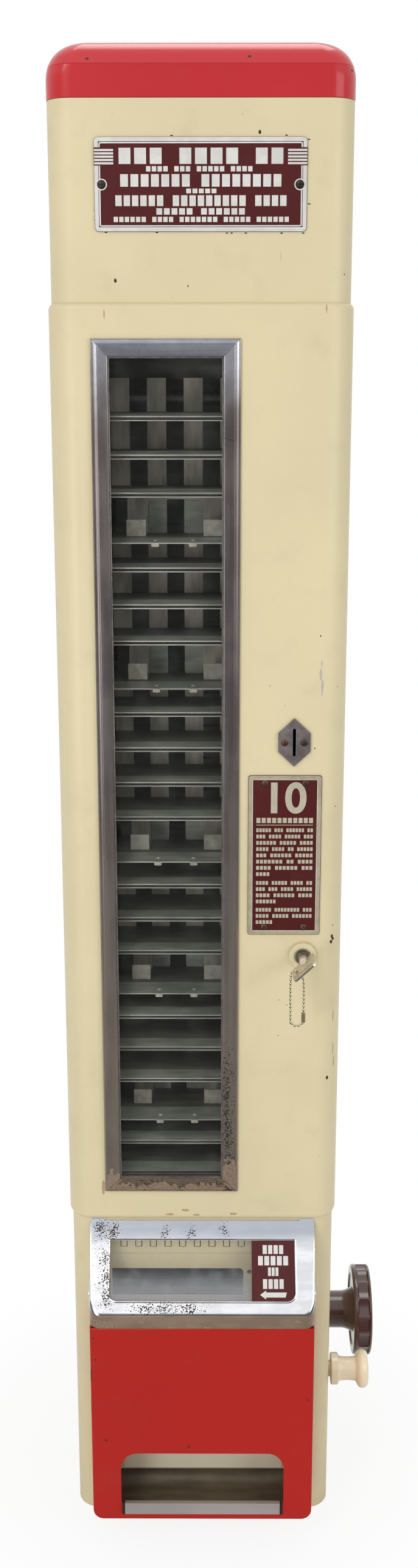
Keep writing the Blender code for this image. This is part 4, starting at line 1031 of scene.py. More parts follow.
def build_hinge():
    """The door's hinge leaf, inside the door's side flange, with its two knuckles on the pin."""
    leaf = (door.left + sheet, door.left + sheet + hinge_leaf)
    edge = door.back - gap
    centre = (pin.x, pin.y)
    parts = [slab("Z", [rectangle(*leaf, door.back - hinge_leaf_width, edge)], pin.low, pin.high, door_cream)]
    length = (pin.high - pin.low) / hinge_knuckles
    for knuckle in range(1, hinge_knuckles, 2):
        span = (pin.low + knuckle * length + gap, pin.low + (knuckle + 1) * length - gap)
        rings = [circle(centre, hinge_radius, 24), circle(centre, pin.width / 2 + gap / 2, 24)]
        parts += [slab("Z", rings, *span, door_cream),
                  slab("Z", [rectangle(*leaf, edge, pin.y - hinge_radius / 2)], *span, door_cream)]
    fit("hinge_leaf", parts, "door", "cream_paint", "door_hinge_leaf")


def build_window():
    """The chrome trim: a rolled profile mitred round the window."""
    foot = door.front - gap
    high = foot - window.front
    inner = window_band - window_return
    roll = (*trim_roll, (inner, 0.55), (inner, 0.5), (window_band, 0.5))
    profile = [(inset, share * high) for inset, share in roll]
    profile += [(window_band, -sheet), (inner, -sheet), (inner, 0)]
    rings = [[(x, foot - rise, z) for x, z in rectangle(*window.within(inset))] for inset, rise in profile]
    trim = loft(rings, frame_chrome, closed=True)
    # The level strips take a lighter, bluer chrome: a painted reflection on the top strip
    add_finishes(trim, frame_chrome_level_reflection, nickel)
    # The inner returns take nickel, which paints a highlight line along them
    for face in trim.data.polygons:
        x, z = abs(face.center.x - window.x), abs(face.center.z - window.z)
        returned = max(x - window.width / 2, z - window.height / 2) < -inner - tiny
        face.material_index = 2 if returned else 1 if x < window.width / 4 else 0
    seams = [[seen(*pixel, window_face) for pixel in ends] for ends in trim_seams]
    for x, side in ((window.left, 1), (window.right, -1)):
        for z, rise in ((window.low, 1), (window.high, -1)):
            corner = Vector((x, 0, z))
            seams.append([corner, corner + Vector((side * window_band, 0, rise * window_band))])
    for start, end in seams:
        across = Vector((end.z - start.z, 0, start.x - end.x)).normalized() * seam_half
        corners = (start - across, end - across, end + across, start + across)
        cut(trim, slab("Y", [[(corner.x, corner.z) for corner in corners]], window.front - overrun,
                       window.front + seam_depth))
    fit("window_trim", [trim], "door", "frame_chrome", "window_frame")


# Plates
def build_coin_plate():
    face = coin_plate.front + rivet_head
    left, right, low, high = coin_plate.within()
    x, z = coin_plate.x, coin_plate.z
    shoulder = coin_plate_shoulder / 2
    hexagon = [(left, z - shoulder), (x, low), (right, z - shoulder), (right, z + shoulder), (x, high),
               (left, z + shoulder)]
    slot = rounded(x - coin_slot_width / 2, x + coin_slot_width / 2, z - coin_slot_height / 2,
                   z + coin_slot_height / 2, coin_slot_width * 0.45, 4)
    plate = slab("Y", [hexagon, slot], face, coin_plate.back, nickel, 0.0004)
    rivets = [crown("Y", (x + side * coin_rivet_reach, z), face, rivet_radius, rivet_head, brown_metal)
              for side in side_signs]
    fit("coin_plate", [plate, *rivets], "door", "steel", "coin_slot_plate")


def raised(outlines, face, rise, finish):
    """A thin raised patch on a front face, its first outline its edge and any others its holes."""
    return slab("Y", outlines, face - rise, face + rise, finish)


def border(space, inset, width, radius, face, rise, finish):
    """A raised line round a plate, with round corners."""
    return raised([rounded(*space.within(edge), corner, 4)
                   for edge, corner in ((inset, radius), (inset + width, max(radius - width, tiny)))],
                  face, rise, finish)


def lettering(rows, face, rise, finish):
    """Plain raised blocks where words would be. A row is (left, right, top, height, blocks in each group)."""
    bm = bmesh.new()
    for left, right, high, tall, groups in rows:
        step = (right - left) / (sum(groups) + (len(groups) - 1) * group_space - block_space)
        x = left
        for count in groups:
            for _ in range(count):
                size = (step * (1 - block_space), 2 * rise, tall)
                place = (x + size[0] / 2, face, high - tall / 2)
                bmesh.ops.create_cube(bm, size=1, matrix=Matrix.LocRotScale(place, None, size))
                x += step
            x += step * group_space
    return keep(bm, finish)


def numeral(figures, centre, height, face, rise, finish):
    """A plain raised number, centred on a place of a front face."""
    curve = bpy.data.curves.new("numeral", "FONT")
    curve.body = figures
    curve.size = height * 1.35
    curve.offset = height * 0.035
    curve.extrude = rise
    curve.align_x = "CENTER"
    curve.align_y = "CENTER"
    bm = drawn(curve)
    place = Matrix.Translation((centre[0], face, centre[1]))
    bmesh.ops.transform(bm, matrix=place @ AXIS_TURNS["Y"], verts=bm.verts)
    return keep(bm, finish)


def build_notice():
    """The instruction plate: a plain numeral over rows of plain blocks."""
    face = notice.front + rivet_head
    rise = 0.00008
    edge = 0.0003
    band = 0.0030
    high = notice.high
    left = notice.left + notice_margin
    right = notice.right - notice_margin
    rule = high - notice_rule_drop
    rows = [(left, right, high - heading_drop, heading_letter, (11,))]
    for top, lines in notice_paragraphs:
        for index, groups in enumerate(lines):
            reach = right if sum(groups) > short_line else left + (right - left) * sum(groups) / full_line
            rows.append((left, reach, high - top - index * notice_pitch, notice_letter, groups))
    parts = [slab("Y", [rounded(*notice.within(), 0.002, 4)], face, notice.back, maroon, 0.0002),
             border(notice, edge, band, 0.0020, face, rise, grey_silver),
             border(notice, edge + band, 0.0004, 0.0008, face, 1.5 * rise, silver),
             numeral("10", (notice.x, high - numeral_drop), numeral_height, face, rise, beige_silver),
             raised([rectangle(left, right, rule - notice_rule, rule)], face, rise, beige_silver),
             lettering(rows, face, rise, beige_silver)]
    parts += [crown("Y", (notice.x + side * notice_rivet_x, z), face, rivet_radius, rivet_head, brown_metal)
              for side in side_signs for z in (notice.low + notice_rivet_inset, high - notice_rivet_inset)]
    fit("notice_plate", parts, "door", "plate_paint", "instruction_plate")


def build_title():
    """The nameplate: borders, bars and screws, with rows of plain blocks where a name would be."""
    face = title.front + screw_head
    rise = 0.0001
    left, right, low, high = title.within()
    top = high - bars_from_top
    bars = 5
    parts = [slab("Y", [rounded(left, right, low, high, 0.003, 6)], face, title.back, maroon, 0.0003)]
    edge = 0.0002
    for width, radius, height, finish in ((0.0028, 0.0028, rise, silver),
                                          (0.0004, 0.0016, rise / 2, black_edge),
                                          (0.0010, 0.0014, rise, silver)):
        parts.append(border(title, edge, width, radius, face, height, finish))
        edge += width
    for side in side_signs:
        near, far = sorted((side * (title.width / 2 - 0.0002), side * (title.width / 2 - bar_length)))
        field = rectangle(near - gap, far + gap, top - bars * bar_pitch, top + bar_pitch / 2)
        parts.append(raised([field], face, 1.3 * rise, maroon))
        for bar in range(bars):
            z = top - bar * bar_pitch
            parts.append(raised([rectangle(near, far, z - bar_width, z)], face, 1.8 * rise, silver))
        centre = (side * name_screw_spread, title.z)
        parts += [slab("Y", [circle(centre, screw_ring)], face - 1.3 * rise, face + rise, silver),
                  slab("Y", [circle(centre, screw_field)], face - 1.8 * rise, face + rise, maroon),
                  crown("Y", centre, face, rivet_radius, screw_head, dark_metal, slot=True)]
    rows = [(left + title.width * start, left + title.width * stop, high - title.height * down,
             title.height * tall, groups) for down, tall, start, stop, groups in title_rows]
    parts.append(lettering(rows, face, rise, silver))
    fit("title_plate", parts, "cabinet", "plate_paint", "nameplate")


# Lock, key and chain
def build_lock():
    """The lock's boss, with a round front edge, and the cylinder with a serrated bore."""
    face = boss.front
    bore = plug.width / 2 + gap
    radius = boss.width / 2
    edge = 0.0012
    mouth = 0.001
    inner = plug_bore - gap
    skirt = door.front - gap
    profile = [(face + mouth, bore), (face, bore + 0.0006), (face, radius - edge),
               (face + edge / 3, radius - edge / 3), (face + edge, radius), (skirt, radius), (skirt, inner),
               (boss.back, inner), (boss.back, bore), (face + mouth, bore)]
    fit("lock_boss", [revolve("Y", lock_centre, profile, door_cream, 64)], "door", "cream_paint", "lock_body")
    teeth = 28
    tooth_depth = 0.0009
    toothed_from = 0.0050

    def serrated(angle, _, reach):
        wave = abs((angle * teeth / math.pi) % 2 - 1)
        return reach - (tooth_depth * wave if reach > toothed_from else 0)

    outer = plug.width / 2
    edge = 0.0006
    barrel = 0.0042
    end = plug.front + key_reach
    profile = [(plug.front + edge, barrel), (plug.front, barrel + 0.0004), (plug.front, outer - edge),
               (plug.front + edge, outer), (plug.back, outer), (plug.back, 0), (end, 0), (end, barrel),
               (plug.front + edge, barrel)]
    cylinder = revolve("Y", lock_centre, profile, cylinder_metal, teeth * 6, serrated)
    fit("lock_cylinder", [cylinder], "lock_plug", "steel", "lock_plug")


def build_key():
    """The round key and its flat bow. Returns the middle of the bow's eye."""
    tip = plug.front + key_reach - 2 * gap
    barrel = plug.front - key_barrel_length
    radius = 0.0038
    edge = 0.0006
    tip_edge = 0.0004
    profile = [(barrel, 0), (barrel, radius - edge), (barrel + edge, radius), (tip - tip_edge, radius),
               (tip, radius - tip_edge), (tip, 0)]
    shank = revolve("Y", lock_centre, profile, key_metal, 32)
    back = barrel + key_bow_corner / 2
    front = back - key_bow_length
    half = key_bow_width / 2
    thick = 0.002
    eye_y = front + key_bow_length / 2
    outlines = [rounded(-half, half, front, back, key_bow_corner, 10),
                circle((-key_hole_reach, eye_y), key_hole_radius, 24),
                rounded(*key_slot_span, front + key_slot_place, front + key_slot_place + key_slot_width,
                        key_slot_width / 2, 4)]
    bow = slab("Z", outlines, -thick / 2, thick / 2, key_metal, 0.0003)
    place = Matrix.Translation((boss.x, 0, boss.z)) @ Matrix.Rotation(-key_turn, 4, "Y")
    fit("lock_key", [shank, moved(bow, place)], "key", "steel", "key")
    return place @ Vector((-key_hole_reach, eye_y, 0))


def chain_route(hole):
    """The loop of chain: square through the key's eye, then down both sides to a round bottom."""
    half = chain_width / 2
    middle = hole.x + half - chain_left
    leave = Vector((-math.sin(key_turn), 0, math.cos(key_turn))) * bead_pitch * 0.8
    route = [hole, hole + leave, Vector((middle - half, hole.y, hole.z - 0.0025))]
    bottom = (middle, hole.z - chain_height + half)
    route += [Vector((x, hole.y, z)) for x, z in arc(bottom, half, 180, 360, 6)]
    return route + [Vector((middle + half, hole.y, hole.z - half * 1.6)), hole - leave]


def evenly(route, spacing):
    """Places a spacing apart on a closed smooth curve through a route, and the points of that curve."""
    dense = []
    count = len(route)
    for index in range(count):
        p0, p1, p2, p3 = (route[(index + shift) % count] for shift in (-1, 0, 1, 2))
        for step in range(round_steps):
            t = step / round_steps
            dense.append(0.5 * ((2 * p1) + (p2 - p0) * t + (2 * p0 - 5 * p1 + 4 * p2 - p3) * t * t
                                + (3 * p1 - p0 - 3 * p2 + p3) * t * t * t))
    lengths = [0]
    for first, second in zip(dense, dense[1:] + dense[:1]):
        lengths.append(lengths[-1] + (second - first).length)
    beads = round(lengths[-1] / spacing)
    places = []
    index = 0
    for bead in range(beads):
        target = lengths[-1] * bead / beads
        while lengths[index + 1] < target:
            index += 1
        share = (target - lengths[index]) / (lengths[index + 1] - lengths[index])
        places.append(dense[index].lerp(dense[(index + 1) % len(dense)], share))
    return places, dense


def build_chain(hole):
    """Round beads on a wire, closed by a connector low on the right strand."""
    places, line = evenly(chain_route(hole), bead_pitch)
    middle = hole.x + chain_width / 2 - chain_left
    low = hole.z - chain_height * connector_drop
    joint = min((place for place in places if place.x > middle), key=lambda place: abs(place.z - low))
    half = 0.0044
    taper = 0.9 * half
    radius = 0.0016
    end = 0.7 * radius
    sleeve = [(joint.z + along, reach) for along, reach in (
        (-half, 0), (-half, end), (-taper, radius), (taper, radius), (half, end), (half, 0))]
    parts = [tube(line, chain_wire, steel, 1)]
    parts += [ball(place, bead_radius, bead_metal, 6) for place in places
              if (place - joint).length > bead_pitch * 0.6]
    parts.append(revolve("Z", (joint.x, joint.y), sleeve, dull_brass, 20))
    fit("ball_chain", parts, "key_chain", "steel", "key_chain")


# Hood and chute
hood_rise = hood_top - hood_edge
hood_slope = math.hypot(hood_rise, hood.depth)
# From the slanted face, where -Y points out of it and Z runs up the slope from its front edge
hood_turn = (Matrix.Translation((0, hood.front, hood_edge))
             @ Matrix.Rotation(-math.atan2(hood.depth, hood_rise), 4, "X"))


def hood_wedge(inset, finish=None):
    """The hood as a solid wedge, round at its two front corners and along its front and side bends."""
    lean = inset * hood_slope / hood.depth
    beyond = overrun if inset else 0
    back = hood.back + beyond
    low = hood.low - beyond
    outline = pan_outline(hood.width / 2 - inset, hood.front + inset, back, hood_plan_corner - inset)
    wedge = loft([[(x, y, low) for x, y in outline],
                  [(x, y, hood_edge - lean + (y - hood.front) * hood_rise / hood.depth) for x, y in outline]],
                 finish)
    return bevel_edges(wedge, lambda place: place.z > low + tiny and place.y < back - tiny,
                       hood_bend - inset, 4)


def hood_hole(grow=0):
    """The window of the hood in its slope's own plane, square above and round below."""
    high = hood_slope - hood_hole_from_top
    return pan_outline(hood.width / 2 - hood_hole_side + grow, high - hood_hole_height - grow, high + grow,
                       hood_hole_corner + grow)


def build_hood():
    """The bent hood, with a bead round its window and two rivets on each side."""
    shell = hood_wedge(0, hood_chrome)
    # The front lip takes a darker, browner chrome: tarnish with painted shade
    add_finishes(shell, lip_chrome_tarnish_and_shade)
    for face in shell.data.polygons:
        if face.center.z < hood_edge - 0.0004 and face.normal.y < -0.3:
            face.material_index = 1
    ear = hood.width / 2 - hood_ear
    step = rectangle(-ear, ear, hood_slope - hood_step, hood_slope + overrun)
    cut(shell, hood_wedge(sheet))
    for outline in (hood_hole(), step):
        cut(shell, moved(through("Y", outline, 0, 0), hood_turn))
    line = [hood_turn @ Vector((x, 0, z)) for x, z in hood_hole(hood_bead)]
    parts = [shell, tube(line, hood_bead, hood_chrome, 2)]
    for side in side_signs:
        for height in hood_rivet_heights:
            place = hood_turn @ Vector((0, hood_rivet_depth, height))
            parts.append(crown("X", (place.y, place.z), side * hood.width / 2, *hood_rivet, hood_chrome,
                               side))
    fit("chrome_hood", parts, "cabinet", "hood_chrome", "selection_hood")


def build_hood_glass():
    """The pane behind the hood's window."""
    plate = slab("Y", [hood_hole(pane_margin)], sheet + gap, sheet + gap + pane_thickness, dusty_pane)
    fit("hood_pane", [moved(plate, hood_turn)], "cabinet", "window_glass", "selection_glass")


def build_sign():
    """The small sign in the hood's window: rows of plain blocks and an arrow to the left."""
    high = hood_slope - hood_hole_from_top - gap
    low = high - hood_hole_height + 2 * gap
    right = hood.width / 2 - hood_hole_side - gap
    left = right - sign_width
    face = sheet - 0.0008
    rise = 0.00008
    outline = [(right, high), (left, high), (left, low)] + bend(right, low, 3, hood_hole_corner - gap)
    rows = [(left + inset * sign_width, right - inset * sign_width, high - top, tall, (count,))
            for inset, top, tall, count in sign_rows]
    middle, z = (left + right) / 2, high - arrow_drop
    neck = middle - arrow_half + 1.4 * arrow_head
    arrow = [(middle - arrow_half, z), (neck, z - arrow_head), (neck, z - arrow_thick),
             (middle + arrow_half - 0.0010, z - arrow_thick), (middle + arrow_half, z + arrow_thick),
             (neck, z + arrow_thick), (neck, z + arrow_head)]
    parts = [slab("Y", [outline], face, sheet, maroon), lettering(rows, face, rise, silver),
             raised([arrow], face, rise, silver)]
    fit("arrow_sign", [moved(part, hood_turn) for part in parts], "cabinet", "plate_paint", "selection_sign")


def chute_solid(inset, front, back, top, finish=None):
    """The chute housing's block, round at its two lower corners."""
    outline = pan_outline(chute.width / 2 - inset, chute.low + inset, top, chute_corner - inset)
    return slab("Y", [outline], front, back, finish)


def build_chute():
    """The chute housing with its mouth, whose upper corners are wide curves."""
    housing = chute_solid(0, chute.front, chute.back, chute.high, chute_red)
    bevel_edges(housing, lambda place: place.y < chute.front + tiny, chute_bend, 3)
    hollow = chute_solid(sheet, chute.front + sheet, chute.back + overrun, chute.high + overrun)
    wide = mouth_half - mouth_top_half
    tall = mouth_high - mouth_shoulder
    corner = 0.0020
    mouth = (bend(mouth_half, mouth_high, 0, wide, height=tall)
             + bend(-mouth_half, mouth_high, 1, wide, height=tall)
             + bend(-mouth_half, mouth_low, 2, corner, 4) + bend(mouth_half, mouth_low, 3, corner, 4))
    cut(housing, hollow, through("Y", mouth, chute.front, chute.front + sheet))
    fit("chute_box", [housing], "cabinet", "red_paint", "chute_housing")


def build_scoop():
    """The delivery tray: a wide curved scoop, with a narrower lip hooked over the mouth's lower edge."""
    inside = chute.front + sheet + gap
    outside = chute.front - gap
    thick = 0.0010
    floor = scoop.low
    top = mouth_low + gap
    bend_radius = scoop_back_high - floor
    wide = scoop.width / 2
    centre = (scoop.back - bend_radius, floor + bend_radius)
    line = [(inside, floor)] + arc(centre, bend_radius, 270, 360)
    inner = arc(centre, bend_radius - thick, 360, 270) + [(inside, floor + thick)]
    foot = floor + thick + gap
    hook = [(inside + thick, foot), (inside + thick, top + thick), (outside - thick, top + thick),
            (outside - thick, lip_low), (outside, lip_low), (outside, top), (inside, top), (inside, foot)]
    end = rectangle(outside - thick - 0.0002, outside, lip_low, top + thick)
    parts = [slab("X", [line + inner], -wide, wide, scoop_metal),
             slab("X", [hook], -lip_half, lip_half, lip_metal, 0.0003)]
    parts += [slab("X", [end], *sorted((side * (lip_half + gap), side * (lip_half + lip_end))), dark_metal)
              for side in side_signs]
    fit("scoop_tray", parts, "cabinet", "tray_steel", "delivery_tray")


# Hand wheel and pull knob
def build_wheel():
    """The fluted hand wheel: rim with a row of pockets round it, web with five holes, and flared hub."""
    radius = wheel.depth / 2
    rim_start = wheel.right - 0.0167
    pockets_start = rim_start + 0.0040
    pockets_end = rim_start + 0.0147
    pocket_depth = 0.0022
    pocket_run = 0.0012

    def fluted(angle, along, reach):
        inward = min(along - pockets_start, pockets_end - along)
        if reach < radius - 0.001 or inward <= 0:
            return reach
        wave = abs(math.sin(angle * wheel_flutes / 2)) ** 0.7
        return reach - pocket_depth * min(inward / pocket_run, 1) * wave

    inner = 0.0320
    roll = 0.0022
    edge = 0.0012
    profile = [(rim_start + 0.0010, inner), (rim_start, inner + 0.0014)]
    profile += arc((rim_start + roll, radius - roll), roll, 180, 90, 3)
    profile += [(pockets_start + run, radius) for run in (0, pocket_run / 2, pocket_run)]
    profile += [(pockets_end - run, radius) for run in (pocket_run, pocket_run / 2, 0)]
    profile += arc((wheel.right - roll, radius - roll), roll, 60, 0, 2)
    profile += [(wheel.right, inner + 0.0016), (wheel.right - edge, inner), (rim_start + 0.0010, inner)]
    parts = [revolve("X", wheel_centre, profile, bakelite, wheel_flutes * 12, fluted)]
    web_start = wheel.right - 0.0132
    flare = 0.0220
    web_end = wheel.right - 0.0080
    holes = [circle(place, web_hole_radius, 32)
             for place in circle(wheel_centre, (flare + inner) / 2, web_holes)]
    web = [circle(wheel_centre, inner + 0.001, 96), *holes]
    parts.append(slab("X", web, web_start, web_end, bakelite, 0.0005))
    start = wheel.left
    end = wheel.right - 0.0030
    hub = 0.0167
    bore = 0.0063
    socket = start + 0.0163
    spread = 0.0135
    steps = 6
    hub_profile = [(start, bore), (start, hub - 0.001), (start + 0.001, hub), (web_start - spread, hub)]
    for step in range(1, steps + 1):
        widened = (flare - hub) * (1 - math.cos(math.pi / 2 * step / steps))
        hub_profile.append((web_start - spread + spread * step / steps, hub + widened))
    hub_profile += [(end - 0.0020, flare), (end - 0.0006, flare - 0.0006), (end, flare - 0.0020),
                    (end, 0.0125), (end - edge, 0.0110), (end - edge, 0), (socket, 0), (socket, bore),
                    (start, bore)]
    parts += [revolve("X", wheel_centre, hub_profile, bakelite, 64),
              crown("X", wheel_centre, end - edge, *nut, steel, 1)]
    fit("fluted_wheel", parts, "drive", "bakelite", "hand_wheel")


def build_knob():
    """The pull knob: neck, collar, waisted grip and thick round end flange."""
    end = knob.right
    radius = knob.depth / 2
    neck = 0.0070
    collar = end - 0.0333
    wide = 0.0139
    edge = 0.0010
    profile = [(knob.left, 0), (knob.left, neck), (collar, neck), (collar, wide - edge),
               (collar + 0.0008, wide), (collar + 0.0058, wide), (collar + 0.0068, wide - edge),
               (collar + 0.0072, 0.0112)]
    grip_steps = 8
    for step in range(grip_steps + 1):
        share = step / grip_steps
        profile.append((collar + 0.0080 + share * 0.0140, 0.0106 - 0.0006 * math.sin(math.pi * share)))
    half = 0.0050
    face = end - 0.0004
    profile += [(end - 0.0106, 0.0116), (end - 0.0100, 0.0130)]
    profile += arc((end - half, radius - half), half, 165, 0, 11)
    profile += [(face, radius - 2 * half), (face, 0)]
    grip = revolve("X", (knob.y, knob.z), profile, cream_plastic, 64)
    fit("cream_knob", [grip], "handle", "cream_plastic", "pull_knob")


# Product trays, each drawn about its chain point, with its floor towards -Y
def tray_finishes(piece, front, band):
    """A tray sheet's finishes: grimy floor and underside with painted shade, stained comb, front edge with a
    painted highlight.
    """
    add_finishes(piece, grime_and_shade_metal, finger_metal, edge_highlight_metal)
    for face in piece.data.polygons:
        if face.center.z > tray_drop + 0.002 and face.center.y > comb_y - 0.002:
            face.material_index = 2
        elif face.normal.y < -0.8 and face.center.y < front + tiny:
            face.material_index = 3
        elif face.center.y > front + band or face.normal.z < -0.5:
            face.material_index = 1
    return piece


def plain_tray(comb):
    """A tray: sloped front band over a fold, and a comb of some height at the back."""
    half = shelf_width / 2
    front = -shelf_depth
    floor = tray_drop
    under = floor - tray_sheet
    comb_back = comb_y + tray_sheet
    side = [(0, under), (0, floor), (comb_back, floor), (comb_back, floor + comb), (comb_y, floor + comb),
            (comb_y, floor), (front + tray_band, floor), (front, 0), (front, -tray_sheet),
            (front + tray_band, under)]
    plate = slab("X", [side], -half, half, tray_metal)
    top = floor + comb + overrun
    outer = 1.5 * finger_spread + finger_width / 2
    hole = (finger_spread - finger_width) / 2
    slots = []
    for sign in side_signs:
        ends = sorted((sign * outer, sign * (half + overrun)))
        slots.append(slab("Z", [rectangle(*ends, comb_y - overrun, overrun)], floor + gap, top))
    for x in (-finger_spread, 0, finger_spread):
        outline = rectangle(x - hole, x + hole, comb_y - finger_slot_depth, overrun)
        slots.append(through("Z", outline, floor, floor + comb))
    tray_finishes(cut(plate, *slots), front, tray_band)
    fold_front, fold_back = front + 0.0004, front + 0.0145
    thick = 0.0008
    fold = [(fold_front, -tray_fold), (fold_back, -tray_fold), (fold_back, under), (fold_back - thick, under),
            (fold_back - thick, thick - tray_fold), (fold_front, thick - tray_fold)]
    # The fold under the band takes the lighter edge sheet, a painted highlight
    lower = slab("X", [fold], 0.001 - half, half - 0.001, edge_highlight_metal)
    return merge([soften(plate, 0.0003, 2), lower], "tray pattern")


def deep_tray():
    """A deep tray: lower floor, wide front band with two clips, and an inverted U plate at the back."""
    half = shelf_width / 2
    front = -shelf_depth
    floor = tray_drop - deep_drop
    lip = -deep_drop
    top = tray_drop + finger_height
    band = front + deep_band
    side = [(0, floor - tray_sheet), (0, floor), (band, floor), (front, lip), (front, lip - tray_sheet),
            (band, floor - tray_sheet)]
    parts = [soften(tray_finishes(slab("X", [side], -half, half, tray_metal), front, deep_band), 0.0003, 2)]
    outer = leg_spread + leg_width / 2
    inner = leg_spread - leg_width / 2
    bridge = top - leg_width / 2
    radius = 0.0060
    corner = 0.002
    arch = [(-outer, floor), (-inner, floor)] + bend(-inner, bridge, 1, radius, 6)[::-1]
    arch += bend(inner, bridge, 0, radius, 6)[::-1] + [(inner, floor), (outer, floor)]
    arch += bend(outer, top, 0, corner, 4) + bend(-outer, top, 1, corner, 4)
    parts.append(slab("Y", [arch], comb_y - tray_sheet, comb_y, finger_metal, 0.0002))
    foot_front = band + foot_reach
    foot_back = comb_y - tray_sheet / 2
    foot = [(foot_front, floor + gap), (foot_front, floor + foot_rise),
            (foot_front + tray_sheet, floor + foot_rise), (foot_front + tray_sheet, floor + tray_sheet),
            (foot_back, floor + tray_sheet), (foot_back, floor + gap)]
    finger_back = comb_y + 0.0030
    base = lip + 0.0008
    bump = 0.0021
    dome = [(base, 0), (base, bump), (base + 0.0006, bump * 0.8), (base + 0.0010, bump * 0.4),
            (base + 0.0011, 0)]
    foot_half = leg_width / 2 - 0.0005
    # The feet take the lighter sheet, painted light where they face up
    for sign in side_signs:
        x = sign * leg_spread
        parts.append(slab("X", [foot], x - foot_half, x + foot_half, lit_foot_metal, 0.0002))
    for sign in side_signs:
        x = sign * finger_spread / 2
        finger = rounded(x - finger_width / 2, x + finger_width / 2, floor, top - 0.004, 0.001, 3)
        parts.append(slab("Y", [finger], finger_back, finger_back + tray_sheet, tray_metal))
    for sign in side_signs:
        x = sign * clip_spread
        clip = rounded(x - clip_width / 2, x + clip_width / 2, lip - clip_drop, lip, 0.0008, 3)
        parts += [slab("Y", [clip], front - tray_sheet / 2, front + tray_sheet / 2, finger_metal, 0.0002),
                  revolve("Z", (x, front + 0.0075), dome, lit_foot_metal, 16)]
    return merge(parts, "deep tray pattern")


def build_trays():
    """The front run: a copy of a pattern for each tray, fitted in sections of the CAD."""
    sections = run_count // section_size
    conveyor_x = Space(f"front_trays_{sections}").x
    chain_y = wheel.y - pitch * trays_per_turn / (2 * math.pi)
    patterns = {"plain": plain_tray(finger_height), "short": plain_tray(short_finger), "deep": deep_tray()}
    for index in range(run_count):
        kind = "deep" if index + 1 in deep_trays else "short" if index in deep_trays else "plain"
        place = (conveyor_x, chain_y, wheel.z + pitch * (run_count - index - rest_phase))
        copy = bpy.data.objects.new("tray", patterns[kind].data.copy())
        shapes.objects.link(copy)
        section = min(index // section_size, sections - 1) + 1
        fit(f"front_tray_{index + 1:02d}", [moved(copy, Matrix.Translation(place))], "front_run",
            "tray_steel", f"front_trays_{section}")
    drop(*patterns.values())


build_cabinet()
build_cap()
build_back()
build_door()
build_hinge()
build_window()
build_coin_plate()
build_notice()
build_title()
build_lock()
build_chain(build_key())
build_hood()
build_hood_glass()
build_sign()
build_chute()
build_scoop()
build_wheel()
build_knob()
build_trays()

# CAD nodes that keep their shape and take a finish
# The trays' CAD nodes take the grimy sheet, which also paints the shade inside the cabinet
slot_finishes = {
    "cream_paint": cream, "cap_paint": cap_red, "red_paint": chute_red, "plate_paint": maroon,
    "hood_chrome": hood_chrome, "frame_chrome": frame_chrome, "tray_steel": grime_and_shade_metal, "steel": steel,
    "brass": brass, "bakelite": bakelite, "cream_plastic": cream_plastic, "window_glass": pane,
}


def finish_nodes():
    for part in frame["record"]["subparts"]:
        name = part["node"]
        finish = door_cream if name == "hinge_pin" else slot_finishes[part["material_slot"]]
        materials = frame["nodes"][name].data.materials
        materials.clear()
        materials.append(finish.material)


# Floor, world, lamps and camera
def studio_white(nodes, share):
    """White to the camera, and to mirrors and glass a grey that is darker where a share is low.

    Also returns 1 for all those rays.
    """
    camera, glossy, passed = (nodes.node("ShaderNodeLightPath", output=f"Is {rays} Ray")
                              for rays in ("Camera", "Glossy", "Transmission"))
    return (nodes.mix(camera.most(share), (*[dim_side] * 3, 1), (1, 1, 1, 1)),
            (camera + glossy + passed).least(1.0))


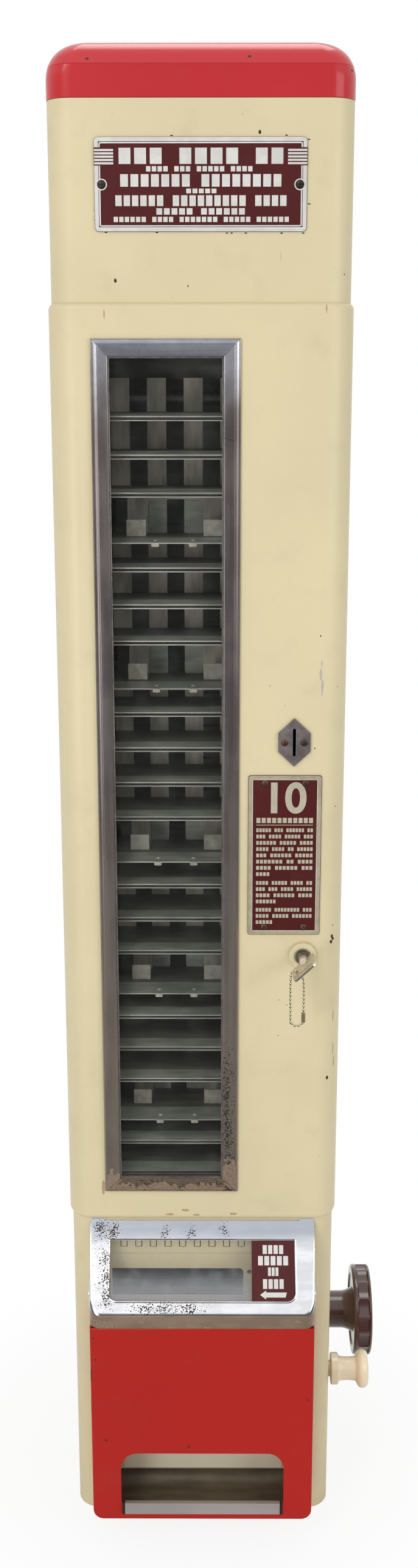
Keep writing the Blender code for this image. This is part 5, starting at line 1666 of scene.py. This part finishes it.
def white_ground():
    """A pale floor that keeps the shadow near the machine and runs out to plain white."""
    finish = Finish("studio floor", tone(236, 236, 236), 0.9)
    white, rays = studio_white(finish, finish.y.step(-0.5, 0.3))
    away = (finish.x * finish.x + finish.y * finish.y).root().step(0.12, 0.34)
    glow = finish.node("ShaderNodeEmission", None, {"Color": white})
    finish.shown_over(rays * (0.88 + away * 0.12), finish.shader, glow, "Material Output")
    return finish


def build_studio():
    scene = bpy.context.scene
    bm = bmesh.new()
    bmesh.ops.create_circle(bm, cap_ends=True, radius=40, segments=64)
    floor = keep(bm, white_ground(), "studio_floor")
    floor.location.z = -0.0005
    scene.world = bpy.data.worlds.new("studio")
    scene.world.use_nodes = True
    nodes = Nodes(scene.world.node_tree)
    soft = nodes.tree.nodes["Background"]
    soft.inputs["Color"].default_value = (1, 1, 1, 1)
    soft.inputs["Strength"].default_value = 0.50
    place = nodes.node("ShaderNodeTexCoord", output="Generated")
    y, z = (nodes.node("ShaderNodeSeparateXYZ", sockets={0: place}, output=axis) for axis in (1, 2))
    white, rays = studio_white(nodes, (y + z * 2.8).step(-0.2, 0.9))
    glow = nodes.node("ShaderNodeBackground", None, {"Color": white, "Strength": 1.0})
    nodes.shown_over(rays, soft, glow, "World Output")
    for name, place, size, power in (("key_lamp", (-0.9, -1.7, 2.1), 0.9, 12),
                                     ("low_lamp", (-1.0, -1.9, 0.6), 0.8, 8),
                                     ("fill_lamp", (1.3, -1.3, 1.1), 1.0, 7.5),
                                     ("top_lamp", (0.1, 0.4, 2.6), 1.0, 11)):
        lamp = bpy.data.lights.new(name, "AREA")
        lamp.size = size
        lamp.energy = power
        holder = bpy.data.objects.new(name, lamp)
        holder.location = place
        aim = Vector((0, 0, 0.65)) - Vector(place)
        holder.rotation_euler = aim.to_track_quat("-Z", "Y").to_euler()
        scene.collection.objects.link(holder)


def build_camera():
    lens = bpy.data.cameras.new("camera")
    lens.sensor_fit = "VERTICAL"
    lens.sensor_height = sensor_height
    lens.lens = focal_pixels / image_height * sensor_height
    holder = bpy.data.objects.new("camera", lens)
    turn = Matrix(camera_axes()).transposed()
    holder.matrix_world = Matrix.Translation(camera_place) @ turn.to_4x4()
    bpy.context.scene.collection.objects.link(holder)
    bpy.context.scene.camera = holder


finish_nodes()
build_studio()
build_camera()
bpy.context.scene.view_settings.view_transform = "Standard"
